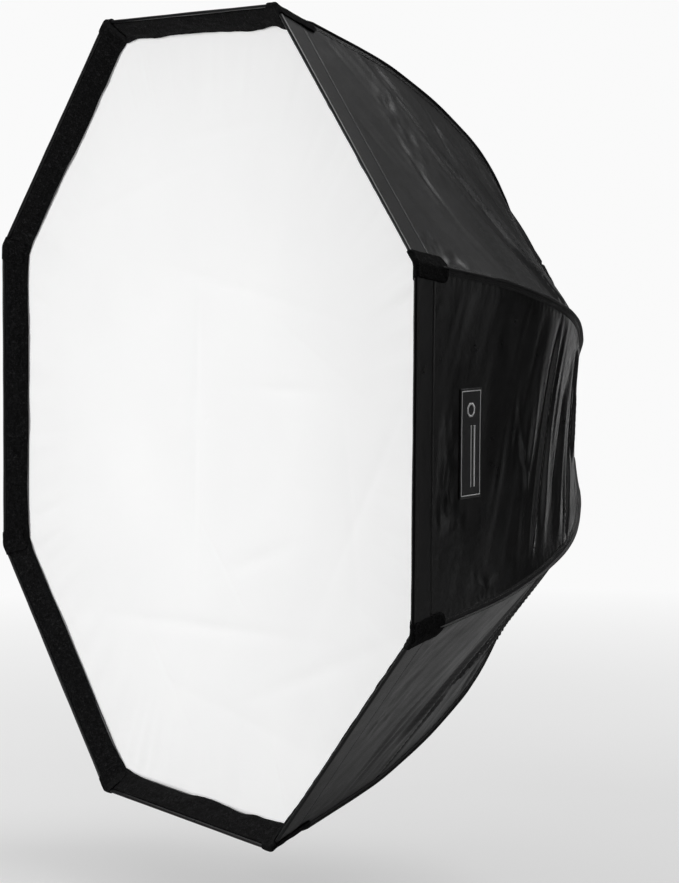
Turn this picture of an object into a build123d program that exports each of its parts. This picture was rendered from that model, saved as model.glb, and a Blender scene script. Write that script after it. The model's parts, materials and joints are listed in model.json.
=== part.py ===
from build123d import *
import os
from math import atan2, cos, degrees, hypot, radians, sin

os.makedirs("parts", exist_ok=True)

# ---------------------------------------------------------------------------
# Eight-sided umbrella-type softbox on a folding speedring, frame open.
#
# Millimetres. The origin is the centre of the seat face that closes against
# the lamp. +Y runs back into the lamp, the softbox opens toward -Y, +Z is up.
# Two flats of the octagon are vertical, so the ribs stand at 22.5, 67.5, ...
# 337.5 degrees from +X toward +Z.
# Points called (radius, y) lie in a plane through the axis.
# ---------------------------------------------------------------------------

SIDES = 8
STEP = 360 / SIDES
RIB_ANGLES = [STEP / 2 + STEP * i for i in range(SIDES)]

FRONT_RADIUS = 610.0   # axis to a corner of the front rim, 1220 across corners
DEPTH = 611.0          # seat face to the plane of the front rim

# Ridge line of the cover at a corner: (radius, y, distance of the rib inside it)
CORNER_LINE = [
    (106.0, -10.0, None),
    (120.0, -19.0, None),
    (140.0, -32.0, None),
    (158.0, -44.0, None),
    (180.0, -57.0, None),
    (200.0, -68.5, None),
    (236.0, -88.5, 15.4),
    (288.0, -118.5, 13.5),
    (322.0, -142.5, 11.0),
    (355.0, -169.0, 8.5),
    (388.0, -201.0, 6.5),
    (421.0, -239.0, 6.0),
    (448.0, -277.0, 6.0),
    (478.0, -321.0, 6.0),
    (506.0, -369.0, 6.0),
    (531.0, -416.0, 6.0),
    (551.0, -463.0, 6.0),
    (570.0, -512.0, 6.0),
    (590.0, -563.0, 6.0),
    (FRONT_RADIUS, -DEPTH, None),
]

# Bayonet insert
BARREL_RADIUS = 60.0
BARREL_FRONT = -19.0
GROOVE_BACK, GROOVE_FRONT = -16.0, -17.5
FLANGE_FRONT = -3.0

# Speedring plate and rib hinges
RUN = 0.06                       # radial running clearance
PLATE_RADIUS = 82.0
PLATE_FRONT, PLATE_BACK = -15.5, -3.5
PLATE_THICKNESS = PLATE_BACK - PLATE_FRONT
HINGE = (97.0, -32.0)            # (radius, y)
HINGE_PIN_R = 2.5
EAR_IN, EAR_OUT = 5.5, 9.5       # from the rib plane
BRACKET_ANGLE = radians(62.0)    # from the axis
BRACKET_DIR = (sin(BRACKET_ANGLE), -cos(BRACKET_ANGLE))

# Rods: distances of the socket along the bracket, from the hinge
SOCKET_START, SOCKET_END = 74.0, 112.0
ROD_R = 2.5

# Guide posts, latch studs and their M4 screws
POST_R, POST_CIRCLE = 4.0, 73.0
POST_ANGLES = [0.0, 90.0, 180.0, 270.0]
LATCH_ANGLES = [135.0, 315.0]
STOP_BACK, STOP_FRONT = -139.0, -144.0
STOP_THICKNESS = STOP_BACK - STOP_FRONT
SCREW_R, SCREW_HOLE_R = 2.0, 2.05
SCREW_HEAD_R, SCREW_HEAD = 4.0, 4.0
SCREW_LENGTH = 16.0
SCREW_SEAT_R, SCREW_SEAT = 4.3, 5.0
HEX_R, HEX_DEPTH = 1.9, 2.0
TAP_DEPTH = 12.0

# Rotation lock
LOCK_ANGLE, LOCK_Y = 45.0, -9.5
LOCK_SCREW_R = 2.5

# Runner and struts
RUNNER_PIVOT = (82.008, -73.59)  # (radius, y)
RUNNER_Y = RUNNER_PIVOT[1]
RUNNER_HALF = 6.0
RUNNER_BACK = RUNNER_Y + RUNNER_HALF
RUNNER_IN, RUNNER_OUT = 65.0, 81.0
RUNNER_EAR_IN, RUNNER_EAR = 3.3, 3.0
BUSH_R = 5.5
STRUT_PIN_R = 2.0
BUTTON_STEM_R = 2.0


def radial_plane(angle, point=(0, 0), direction=(1, 0)):
    """Plane through the axis at this angle.

    The origin (point) and the x axis (direction) are given as (radius, y).
    """
    along_x, along_z = cos(radians(angle)), sin(radians(angle))
    return Plane(
        origin=(point[0] * along_x, point[1], point[0] * along_z),
        x_dir=(direction[0] * along_x, direction[1], direction[0] * along_z),
        z_dir=(-along_z, 0, along_x),
    )


def outward_plane(angle, radius, y):
    """Plane facing away from the axis, its x along -Y."""
    along_x, along_z = cos(radians(angle)), sin(radians(angle))
    return Plane(
        origin=(radius * along_x, y, radius * along_z),
        x_dir=(0, -1, 0),
        z_dir=(along_x, 0, along_z),
    )


def station(y):
    """Plane square to the axis at this y, facing the front, local x and y on X and Z."""
    return Plane.XZ.offset(-y)


def on_post_circle(angle):
    """Place on the post circle, for a sketch on a station."""
    return POST_CIRCLE * cos(radians(angle)), POST_CIRCLE * sin(radians(angle))


def moved(point, direction, distance):
    """Point (radius, y) moved along a direction."""
    return point[0] + direction[0] * distance, point[1] + direction[1] * distance


def ridge(i, distance):
    """Point i of the corner line moved square to the line, inward if positive."""
    before = CORNER_LINE[max(i - 1, 0)]
    after = CORNER_LINE[min(i + 1, len(CORNER_LINE) - 1)]
    rise, run = after[0] - before[0], after[1] - before[1]
    length = hypot(rise, run)
    return moved(CORNER_LINE[i], (run / length, -rise / length), distance)


def corner_radius(y):
    """Corner radius of the cover at y; in front of the rim it is that of the rim."""
    for (radius_0, y_0, _), (radius_1, y_1, _) in zip(CORNER_LINE, CORNER_LINE[1:]):
        if y_1 <= y <= y_0:
            return radius_0 + (radius_1 - radius_0) * (y - y_0) / (y_1 - y_0)
    return FRONT_RADIUS


def save(part, name):
    part.label = name
    export_step(part, f"parts/{name}.step")


def cross_pins(point, radius, half_length):
    """A pin square to the rib plane through a (radius, y) point of every rib."""
    with BuildPart() as pins:
        for angle in RIB_ANGLES:
            with BuildSketch(radial_plane(angle).offset(-half_length)):
                with Locations(point):
                    Circle(radius)
            extrude(amount=2 * half_length)
    return pins.part


def radial_plates(outline, half_width):
    """A flat piece with a (radius, y) outline in the plane of every rib."""
    with BuildPart() as plates:
        for angle in RIB_ANGLES:
            with BuildSketch(radial_plane(angle)):
                with BuildLine():
                    Polyline(*outline, close=True)
                make_face()
            extrude(amount=half_width, both=True)
    return plates.part


def octagon_loft(sections):
    """Flat-sided solid through octagons given as (corner radius, y)."""
    with BuildPart() as body:
        for radius, y in sections:
            with BuildSketch(station(y)):
                RegularPolygon(radius, SIDES, rotation=STEP / 2)
        loft(ruled=True)
    return body.part


def octagon_sheet(radius, y_back, thickness):
    with BuildPart() as sheet:
        with BuildSketch(station(y_back)):
            RegularPolygon(radius, SIDES, rotation=STEP / 2)
        extrude(amount=thickness)
    return sheet.part


POST_PLACES = [on_post_circle(angle) for angle in POST_ANGLES]
LATCH_PLACES = [on_post_circle(angle) for angle in LATCH_ANGLES]
BACK_SCREW_PLACES = POST_PLACES + LATCH_PLACES


# --- Bayonet insert: flanged barrel with three hooked lugs -----------------
BORE_RADIUS = 50.0
FLANGE_RADIUS = 73.0
GROOVE_RADIUS = 58.5
LUGS = 3
LUG_ARC = 24.0
LUG_PROFILE = [  # (radius, y)
    (62, -1), (66, -1), (66, 5.5), (69.5, 5.5), (70, 6.0),
    (70, 8.6), (69.6, 9.0), (62.6, 9.0), (62, 8.4),
]

with BuildPart() as bayonet_insert:
    with BuildSketch(Plane.XY):
        with BuildLine():
            Polyline(
                (BORE_RADIUS, 0), (FLANGE_RADIUS, 0), (FLANGE_RADIUS, FLANGE_FRONT),
                (BARREL_RADIUS, FLANGE_FRONT), (BARREL_RADIUS, GROOVE_BACK),
                (GROOVE_RADIUS, GROOVE_BACK), (GROOVE_RADIUS, GROOVE_FRONT),
                (BARREL_RADIUS, GROOVE_FRONT), (BARREL_RADIUS, BARREL_FRONT),
                (BORE_RADIUS, BARREL_FRONT), close=True,
            )
        make_face()
    revolve(axis=Axis.Y)
    for i in range(LUGS):
        with BuildSketch(radial_plane(90 + 360 / LUGS * i - LUG_ARC / 2)):
            with BuildLine():
                Polyline(*LUG_PROFILE, close=True)
            make_face()
        revolve(axis=Axis.Y, revolution_arc=LUG_ARC)
save(bayonet_insert.part, "bayonet_insert")

# --- Circlip that keeps the speedring on the insert ------------------------
CLIP_IN, CLIP_OUT = 58.6, 63.5
CLIP_BACK = GROOVE_BACK - 0.1
CLIP_THICKNESS = 1.3
CLIP_GAP = (12, 8)
EYE_X, EYE_Z = 60.6, 7.2
EYE_R, EYE_HOLE_R = 2.6, 1.1

with BuildPart() as insert_circlip:
    with BuildSketch(station(CLIP_BACK)):
        Circle(CLIP_OUT)
        Circle(CLIP_IN, mode=Mode.SUBTRACT)
        with Locations((61, 0)):
            Rectangle(*CLIP_GAP, mode=Mode.SUBTRACT)
    extrude(amount=CLIP_THICKNESS)
    with BuildSketch(station(CLIP_BACK)):
        with Locations((EYE_X, EYE_Z), (EYE_X, -EYE_Z)):
            Circle(EYE_R)
            Circle(EYE_HOLE_R, mode=Mode.SUBTRACT)
    extrude(amount=CLIP_THICKNESS)
    # trim the eyes back to the inner edge
    with BuildSketch(station(CLIP_BACK)):
        Circle(CLIP_IN)
    extrude(amount=CLIP_THICKNESS, mode=Mode.SUBTRACT)
save(insert_circlip.part, "insert_circlip")

# --- Fibre washer between insert flange and speedring ----------------------
with BuildPart() as friction_washer:
    with BuildSketch(station(FLANGE_FRONT - 0.05)):
        Circle(71.5)
        Circle(61.0, mode=Mode.SUBTRACT)
    extrude(amount=0.4)
save(friction_washer.part, "friction_washer")

# --- Speedring plate with eight clevises -----------------------------------
PLATE_BEVEL = 1.5
HINGE_BOSS_R = 7.0
CLEVIS_OUTLINE = [  # (radius, y)
    (75, -6.5), (84, -6.5), (100, -19), (104, -32),
    (97, -39), (90.2, -33.5), (80, -19), (75, PLATE_FRONT),
]

with BuildPart() as speedring_plate:
    with BuildSketch(Plane.XY):
        with BuildLine():
            Polyline(
                (BARREL_RADIUS + RUN, PLATE_FRONT), (PLATE_RADIUS, PLATE_FRONT),
                (PLATE_RADIUS, PLATE_BACK - PLATE_BEVEL),
                (PLATE_RADIUS - PLATE_BEVEL, PLATE_BACK),
                (BARREL_RADIUS + RUN, PLATE_BACK), close=True,
            )
        make_face()
    revolve(axis=Axis.Y)
    for angle in RIB_ANGLES:
        for side in (EAR_IN, -EAR_OUT):
            with BuildSketch(radial_plane(angle).offset(side)):
                with BuildLine():
                    Polyline(*CLEVIS_OUTLINE, close=True)
                make_face()
                with Locations(HINGE):
                    Circle(HINGE_BOSS_R)
                    Circle(HINGE_PIN_R, mode=Mode.SUBTRACT)
            extrude(amount=EAR_OUT - EAR_IN)
    # screw seats for the guide posts and latch studs, sunk in the back face
    with BuildSketch(station(PLATE_BACK)):
        with Locations(*BACK_SCREW_PLACES):
            Circle(SCREW_SEAT_R)
    extrude(amount=SCREW_SEAT, mode=Mode.SUBTRACT)
    with BuildSketch(station(PLATE_BACK)):
        with Locations(*BACK_SCREW_PLACES):
            Circle(SCREW_HOLE_R)
    extrude(amount=PLATE_THICKNESS, mode=Mode.SUBTRACT)
    # radial hole of the rotation lock
    with BuildSketch(outward_plane(LOCK_ANGLE, 55.0, LOCK_Y)):
        Circle(LOCK_SCREW_R + RUN)
    extrude(amount=32.0, mode=Mode.SUBTRACT)
save(speedring_plate.part, "speedring_plate")

# --- Hinge pins of the rib brackets ----------------------------------------
save(cross_pins(HINGE, HINGE_PIN_R, EAR_OUT + 0.5), "hinge_pins")

# --- Guide posts, tapped at both ends --------------------------------------
with BuildPart() as guide_posts:
    with BuildSketch(station(PLATE_FRONT)):
        with Locations(*POST_PLACES):
            Circle(POST_R)
    extrude(amount=PLATE_FRONT - STOP_BACK)
    for tap_y in (PLATE_FRONT, STOP_BACK + TAP_DEPTH):
        with BuildSketch(station(tap_y)):
            with Locations(*POST_PLACES):
                Circle(SCREW_R)
        extrude(amount=TAP_DEPTH, mode=Mode.SUBTRACT)
save(guide_posts.part, "guide_posts")

# --- Latch studs: grooved, the release buttons hold behind the nose --------
STUD_R = 4.0
STUD_GROOVE_R, STUD_GROOVE_HALF = 3.0, 1.5
STUD_TIP_R = 3.2
STUD_NOSE_Y, STUD_TIP_Y = RUNNER_Y - 2.4, RUNNER_Y - 3.6

with BuildPart() as latch_studs:
    for angle in LATCH_ANGLES:
        with BuildSketch(radial_plane(angle)):
            with BuildLine():
                Polyline(
                    (POST_CIRCLE, PLATE_FRONT),
                    (POST_CIRCLE + STUD_R, PLATE_FRONT),
                    (POST_CIRCLE + STUD_R, RUNNER_Y + STUD_GROOVE_HALF),
                    (POST_CIRCLE + STUD_GROOVE_R, RUNNER_Y + STUD_GROOVE_HALF),
                    (POST_CIRCLE + STUD_GROOVE_R, RUNNER_Y - STUD_GROOVE_HALF),
                    (POST_CIRCLE + STUD_R, RUNNER_Y - STUD_GROOVE_HALF),
                    (POST_CIRCLE + STUD_R, STUD_NOSE_Y),
                    (POST_CIRCLE + STUD_TIP_R, STUD_TIP_Y),
                    (POST_CIRCLE, STUD_TIP_Y), close=True,
                )
            make_face()
        stud_x, stud_z = on_post_circle(angle)
        revolve(axis=Axis((stud_x, 0, stud_z), (0, 1, 0)))
    with BuildSketch(station(PLATE_FRONT)):
        with Locations(*LATCH_PLACES):
            Circle(SCREW_R)
    extrude(amount=TAP_DEPTH, mode=Mode.SUBTRACT)
save(latch_studs.part, "latch_studs")

# --- Front stop ring on the post ends --------------------------------------
with BuildPart() as front_stop_ring:
    with BuildSketch(station(STOP_BACK)):
        Circle(80)
        Circle(66, mode=Mode.SUBTRACT)
    extrude(amount=STOP_THICKNESS)
    # both edges of the front face
    chamfer(front_stop_ring.edges().filter_by(GeomType.CIRCLE).group_by(Axis.Y)[0], 0.8)
    with BuildSketch(station(STOP_BACK)):
        with Locations(*POST_PLACES):
            Circle(SCREW_HOLE_R)
    extrude(amount=STOP_THICKNESS, mode=Mode.SUBTRACT)
save(front_stop_ring.part, "front_stop_ring")

# --- M4 screws: six from behind, four into the front ends of the posts -----
with BuildPart() as post_screws:
    # (places, y under the head, 1 if the shank points to the front or -1 to the back)
    for places, seat_y, way in (
        (BACK_SCREW_PLACES, PLATE_BACK - SCREW_SEAT, 1),
        (POST_PLACES, STOP_FRONT, -1),
    ):
        with BuildSketch(station(seat_y)):
            with Locations(*places):
                Circle(SCREW_HEAD_R)
        extrude(amount=-way * SCREW_HEAD)
        with BuildSketch(station(seat_y + way * SCREW_HEAD)):
            with Locations(*places):
                RegularPolygon(HEX_R, 6)
        extrude(amount=way * HEX_DEPTH, mode=Mode.SUBTRACT)
        with BuildSketch(station(seat_y)):
            with Locations(*places):
                Circle(SCREW_R)
        extrude(amount=way * SCREW_LENGTH)
save(post_screws.part, "post_screws")

# --- Rotation lock: screw and knob -----------------------------------------
LOCK_SCREW_START = BARREL_RADIUS + 0.05
LOCK_SCREW_LENGTH = 27.9
KNOB_START = 84.5
KNOB_COLLAR = 1.5

with BuildPart() as lock_screw:
    with BuildSketch(outward_plane(LOCK_ANGLE, LOCK_SCREW_START, LOCK_Y)):
        Circle(LOCK_SCREW_R)
    extrude(amount=LOCK_SCREW_LENGTH)
save(lock_screw.part, "lock_screw")

with BuildPart() as lock_knob:
    with BuildSketch(outward_plane(LOCK_ANGLE, KNOB_START, LOCK_Y)):
        Circle(6.5)
    extrude(amount=KNOB_COLLAR)
    # grip with ten flutes
    with BuildSketch(outward_plane(LOCK_ANGLE, KNOB_START + KNOB_COLLAR, LOCK_Y)):
        Circle(8.0)
        with PolarLocations(8.6, 10):
            Circle(1.3, mode=Mode.SUBTRACT)
    extrude(amount=9.0)
    with BuildSketch(outward_plane(LOCK_ANGLE, KNOB_START, LOCK_Y)):
        Circle(LOCK_SCREW_R)
    extrude(amount=LOCK_SCREW_START + LOCK_SCREW_LENGTH - KNOB_START, mode=Mode.SUBTRACT)
save(lock_knob.part, "lock_knob")

# --- Runner ring -----------------------------------------------------------
RUNNER_EAR_OUT = RUNNER_EAR_IN + RUNNER_EAR
RUNNER_EAR_OUTLINE = [  # (radius, y)
    (76, RUNNER_Y - 5.5), (82.0, RUNNER_Y - 4.5),
    (82.0, RUNNER_Y + 4.5), (76, RUNNER_Y + 5.5),
]

with BuildPart() as runner_ring:
    with BuildSketch(station(RUNNER_BACK)):
        Circle(RUNNER_OUT)
        Circle(RUNNER_IN, mode=Mode.SUBTRACT)
    extrude(amount=2 * RUNNER_HALF)
    for angle in RIB_ANGLES:
        # ears of the strut pivot, one each side of a notch in the ring
        for side in (RUNNER_EAR_IN, -RUNNER_EAR_OUT):
            with BuildSketch(radial_plane(angle).offset(side)):
                with BuildLine():
                    Polyline(*RUNNER_EAR_OUTLINE, close=True)
                make_face()
                with Locations(RUNNER_PIVOT):
                    Circle(4.5)
            extrude(amount=RUNNER_EAR)
        with BuildSketch(radial_plane(angle)):
            with Locations((86, RUNNER_Y)):
                Rectangle(18.6, 14)
        extrude(amount=RUNNER_EAR_IN, both=True, mode=Mode.SUBTRACT)
        with BuildSketch(radial_plane(angle)):
            with Locations(RUNNER_PIVOT):
                Circle(STRUT_PIN_R)
        extrude(amount=8, both=True, mode=Mode.SUBTRACT)
    # bores of the bushes and of the latch studs
    with BuildSketch(station(RUNNER_BACK)):
        with Locations(*POST_PLACES):
            Circle(BUSH_R)
        with Locations(*LATCH_PLACES):
            Circle(4.3)
    extrude(amount=2 * RUNNER_HALF, mode=Mode.SUBTRACT)
    # radial pockets of the release buttons
    for angle in LATCH_ANGLES:
        with BuildSketch(outward_plane(angle, 66.2, RUNNER_Y)):
            Rectangle(2.7, 12.4)
        extrude(amount=18, mode=Mode.SUBTRACT)
        with BuildSketch(outward_plane(angle, 77.8, RUNNER_Y)):
            Circle(BUTTON_STEM_R + 0.1)
        extrude(amount=6, mode=Mode.SUBTRACT)
save(runner_ring.part, "runner_ring")

with BuildPart() as runner_bushes:
    with BuildSketch(station(RUNNER_BACK)):
        with Locations(*POST_PLACES):
            Circle(BUSH_R)
            Circle(POST_R + RUN, mode=Mode.SUBTRACT)
    extrude(amount=2 * RUNNER_HALF)
save(runner_bushes.part, "runner_bushes")

save(cross_pins(RUNNER_PIVOT, STRUT_PIN_R, RUNNER_EAR_OUT + 0.3), "runner_pins")


# --- Release buttons: a slide plate round the stud, a stem and a cap -------
def make_release_button(number, angle):
    with BuildPart() as button:
        with BuildSketch(outward_plane(angle, 68.3, RUNNER_Y)):
            Rectangle(2.4, 12.0)
        extrude(amount=12.3)
        # window for the stud
        with BuildSketch(outward_plane(angle, 69.95, RUNNER_Y)):
            Rectangle(6.0, 8.6)
        extrude(amount=9.2, mode=Mode.SUBTRACT)
        with BuildSketch(outward_plane(angle, 80.3, RUNNER_Y)):
            Circle(BUTTON_STEM_R)
        extrude(amount=5.5)
        with BuildSketch(outward_plane(angle, 85.5, RUNNER_Y)):
            Circle(6.0)
        extrude(amount=3.5)
        far_out = outward_plane(angle, 300, RUNNER_Y).origin
        fillet(button.faces().sort_by_distance(far_out)[0].edges(), 0.8)
    save(button.part, f"release_button_{number}")


for number, angle in enumerate(LATCH_ANGLES, 1):
    make_release_button(number, angle)

with BuildPart() as button_springs:
    for angle in LATCH_ANGLES:
        seat = outward_plane(angle, 81.7, RUNNER_Y)
        with BuildLine():
            coil = Helix(
                pitch=1.25, height=3.1, radius=4.3,
                center=seat.origin, direction=seat.z_dir,
            )
        with BuildSketch(Plane(origin=coil @ 0, z_dir=coil % 0)):
            Circle(0.35)
        sweep(path=coil, is_frenet=True)
save(button_springs.part, "button_springs")

# --- Rib brackets ----------------------------------------------------------
# Bracket points are (along, across) the bracket line, from the hinge
BRACKET_HALF = 5.2
CHEEK_IN = 3.2
SLOT_OPEN = (50.0, 2.0)          # strut pin, frame open
SLOT_FOLDED = (62.21, 8.85)      # strut pin, frame folded
SLOT_HALF = 2.25
SLOT_ALONG = SLOT_FOLDED[0] - SLOT_OPEN[0]
SLOT_ACROSS = SLOT_FOLDED[1] - SLOT_OPEN[1]
SLOT_MIDDLE = ((SLOT_OPEN[0] + SLOT_FOLDED[0]) / 2, (SLOT_OPEN[1] + SLOT_FOLDED[1]) / 2)
BRACKET_OUTLINE = [
    (0, -6.0), (52, -5.0), (78, -5.0), (78, 5.0),
    (70, 13.0), (61, 13.6), (44, 8.0), (0, 7.0),
]
SOCKET_R = 4.8
SOCKET_OVERLAP = 1.0             # tube reaching back into the bracket


def make_rib_bracket(number, angle):
    plane = radial_plane(angle, HINGE, BRACKET_DIR)
    with BuildPart() as bracket:
        with BuildSketch(plane):
            Circle(HINGE_BOSS_R)
            with BuildLine():
                Polyline(*BRACKET_OUTLINE, close=True)
            make_face()
        extrude(amount=BRACKET_HALF, both=True)
        # gap between the two cheeks, from the hinge boss to the rod socket
        with BuildSketch(plane):
            with Locations((40.75, 0)):
                Rectangle(62.5, 40)
        extrude(amount=CHEEK_IN, both=True, mode=Mode.SUBTRACT)
        # strut slot and hinge hole
        with BuildSketch(plane):
            with Locations(SLOT_MIDDLE):
                SlotCenterToCenter(
                    hypot(SLOT_ALONG, SLOT_ACROSS) + 0.6, 2 * SLOT_HALF,
                    rotation=degrees(atan2(SLOT_ACROSS, SLOT_ALONG)),
                )
            Circle(HINGE_PIN_R + RUN)
        extrude(amount=2 * BRACKET_HALF, both=True, mode=Mode.SUBTRACT)
        # tube that holds the rod
        socket = Plane(
            origin=plane.origin + plane.x_dir * (SOCKET_START - SOCKET_OVERLAP),
            z_dir=plane.x_dir,
        )
        tube = SOCKET_END - SOCKET_START + SOCKET_OVERLAP
        with BuildSketch(socket):
            Circle(SOCKET_R)
        extrude(amount=tube)
        with BuildSketch(socket):
            Circle(ROD_R + 0.05)
        extrude(amount=tube + 1, mode=Mode.SUBTRACT)
    save(bracket.part, f"rib_bracket_{number}")


# --- Rib rods: straight in the socket, a spline, straight in the tip -------
FRONT_SLOPE = atan2(FRONT_RADIUS - CORNER_LINE[-2][0], DEPTH + CORNER_LINE[-2][1])
FRONT_DIR = (sin(FRONT_SLOPE), -cos(FRONT_SLOPE))
ROD_START = moved(HINGE, BRACKET_DIR, SOCKET_START)
ROD_BEND = moved(HINGE, BRACKET_DIR, SOCKET_END)
ROD_POINTS = [ridge(i, row[2]) for i, row in enumerate(CORNER_LINE) if row[2] is not None]
ROD_END = moved(ROD_POINTS[-1], FRONT_DIR, 30)


def make_rib_rod(number, angle):
    with BuildPart() as rod:
        with BuildLine(radial_plane(angle)):
            straight = Line(ROD_START, ROD_BEND)
            Spline([ROD_BEND] + ROD_POINTS, tangents=[BRACKET_DIR, FRONT_DIR])
            Line(ROD_POINTS[-1], ROD_END)
        bracket_line = radial_plane(angle, HINGE, BRACKET_DIR).x_dir
        with BuildSketch(Plane(origin=straight @ 0, z_dir=bracket_line)):
            Circle(ROD_R)
        sweep()
    save(rod.part, f"rib_rod_{number}")


# --- Rib tips: round-nosed caps on the rod ends ----------------------------
TIP_R = 4.0
TIP_NOSE = 3.0                   # beyond the end of the rod
TIP_LENGTH = 25.0


def make_rib_tip(number, angle):
    rod_end = radial_plane(angle, ROD_END, FRONT_DIR)
    with BuildPart() as tip:
        nose = rod_end.origin + rod_end.x_dir * TIP_NOSE
        with BuildSketch(Plane(origin=nose, z_dir=rod_end.x_dir)):
            Circle(TIP_R)
        extrude(amount=-TIP_LENGTH)
        fillet(tip.edges().sort_by(Axis.Y)[0], 2.5)
        with BuildSketch(Plane(origin=rod_end.origin, z_dir=rod_end.x_dir)):
            Circle(ROD_R)
        extrude(amount=-TIP_LENGTH, mode=Mode.SUBTRACT)
    save(tip.part, f"rib_tip_{number}")


# --- Struts: flat link with a riveted pin that runs in the bracket slot ----
STRUT_LENGTH = 63.28
STRUT_ANGLE = radians(18.31)     # from the radius toward the lamp
STRUT_DIR = (cos(STRUT_ANGLE), sin(STRUT_ANGLE))
STRUT_HALF = 2.5
RIVET_R, RIVET_IN, RIVET_OUT = 3.2, 5.4, 6.6


def make_strut(number, angle):
    plane = radial_plane(angle, RUNNER_PIVOT, STRUT_DIR)
    with BuildPart() as strut:
        with BuildSketch(plane):
            with Locations((STRUT_LENGTH / 2, 0)):
                SlotCenterToCenter(STRUT_LENGTH, 8.2)
            Circle(STRUT_PIN_R + RUN, mode=Mode.SUBTRACT)
        extrude(amount=STRUT_HALF, both=True)
        # long window in the middle
        with BuildSketch(plane):
            with Locations((STRUT_LENGTH / 2, 0)):
                SlotCenterToCenter(30, 3.4)
        extrude(amount=4, both=True, mode=Mode.SUBTRACT)
        with BuildSketch(plane):
            with Locations((STRUT_LENGTH, 0)):
                Circle(STRUT_PIN_R)
        extrude(amount=5.6, both=True)
        for side in (RIVET_IN, -RIVET_OUT):
            with BuildSketch(plane.offset(side)):
                with Locations((STRUT_LENGTH, 0)):
                    Circle(RIVET_R)
            extrude(amount=RIVET_OUT - RIVET_IN)
    save(strut.part, f"strut_{number}")


for number, angle in enumerate(RIB_ANGLES, 1):
    make_rib_bracket(number, angle)
    make_rib_rod(number, angle)
    make_rib_tip(number, angle)
    make_strut(number, angle)

# --- Cover: eight flat-sided panels between the corner lines ---------------
COVER_WALL = 0.9

outer = [(radius, y) for radius, y, _ in CORNER_LINE]
inner = [(radius - COVER_WALL, y) for radius, y in outer]
# the hollow runs 1 mm past both ends, so that it cuts them open
inner[0] = (inner[0][0] - 1.75, inner[0][1] + 1.0)
inner[-1] = (inner[-1][0] + 0.42, inner[-1][1] - 1.0)
cover_body = octagon_loft(outer)
cover_hollow = octagon_loft(inner)
with BuildPart() as canopy:
    add(cover_body)
    add(cover_hollow, mode=Mode.SUBTRACT)
save(canopy.part, "canopy")

# --- Bound seams that stand up along the eight corners ---------------------
# They taper from 8 mm above the ridge at the back to 3 mm at the front
SEAM_FIRST, SEAM_LAST = 3, len(CORNER_LINE) - 3
seam_rows = range(SEAM_FIRST, SEAM_LAST + 1)
seam_low = [ridge(i, -0.5) for i in seam_rows]
seam_high = [
    ridge(i, -3.0 - 5.0 * (SEAM_LAST - i) / (SEAM_LAST - SEAM_FIRST)) for i in seam_rows
]
save(radial_plates(seam_low + seam_high[::-1], 0.8), "seam_bindings")

# --- Pocket tapes that hold the rods against the seams ---------------------
POCKET_GAP, POCKET_WALL = 3.8, 1.0   # gap from the rod's centre line
pocket_rows = range(8, len(CORNER_LINE) - 1)
pocket_low = [ridge(i, CORNER_LINE[i][2] + POCKET_GAP) for i in pocket_rows]
pocket_high = [ridge(i, CORNER_LINE[i][2] + POCKET_GAP + POCKET_WALL) for i in pocket_rows]
save(radial_plates(pocket_low + pocket_high[::-1], 6), "rib_pockets")

# --- Front edge: hook tape on the cover, loop border on the diffuser -------
BAND_WALL = 1.6
BAND_FRONT = 0.4 - DEPTH


def cone_band(front_radius, back_radius, y_back):
    """Eight-sided conical strip that opens toward the front."""
    slope = (back_radius - front_radius) / (y_back - BAND_FRONT)
    band = octagon_loft([(front_radius, BAND_FRONT), (back_radius, y_back)])
    core = octagon_loft([
        (front_radius - BAND_WALL + slope * (y - BAND_FRONT), y)
        for y in (BAND_FRONT - 1, y_back + 1)
    ])
    return band - core


with BuildPart() as rim_hook_tape:
    add(cone_band(608.2, 579.0, 29.0 - DEPTH))
save(rim_hook_tape.part, "rim_hook_tape")

with BuildPart() as diffuser_border:
    add(cone_band(606.0, 577.0, 28.8 - DEPTH))
save(diffuser_border.part, "diffuser_border")

save(octagon_sheet(578.5, 30.6 - DEPTH, 1.2), "outer_diffuser")

# --- Inner diffuser and its straps -----------------------------------------
BAFFLE_Y = -301.0                # back face of the inner diffuser
STRAP_IN, STRAP_OUT = 424.6, 448.5
STRAP_FRONT, STRAP_BACK = BAFFLE_Y - 1.2, BAFFLE_Y + 0.2

save(octagon_sheet(424, BAFFLE_Y, 1.0), "inner_diffuser")

strap_outline = [
    (STRAP_IN, STRAP_FRONT), (STRAP_OUT, STRAP_FRONT),
    (STRAP_OUT, STRAP_BACK), (STRAP_IN, STRAP_BACK),
]
save(radial_plates(strap_outline, 6), "baffle_straps")

# --- Corner tabs that wrap the rib ends ------------------------------------
TAB_WALL, TAB_WIDTH = 2.0, 17.5
# (y, gap outside the corner of the cover)
TAB_ENDS = [(-DEPTH - 2.0, 1.2), (60.0 - DEPTH, 0.4)]


def chevron(angle, y, gap):
    """Folded strip seen square to the axis, laid on a corner of the octagon."""
    inside = corner_radius(y) + gap
    outside = inside + TAB_WALL
    lean = radians(90 + STEP / 2)
    fold_x, fold_z = TAB_WIDTH * cos(lean), TAB_WIDTH * sin(lean)
    outline = [
        (inside + fold_x, fold_z), (inside, 0), (inside + fold_x, -fold_z),
        (outside + fold_x, -fold_z), (outside, 0), (outside + fold_x, fold_z),
    ]
    turn_x, turn_z = cos(radians(angle)), sin(radians(angle))
    return [(x * turn_x - z * turn_z, x * turn_z + z * turn_x) for x, z in outline]


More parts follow.
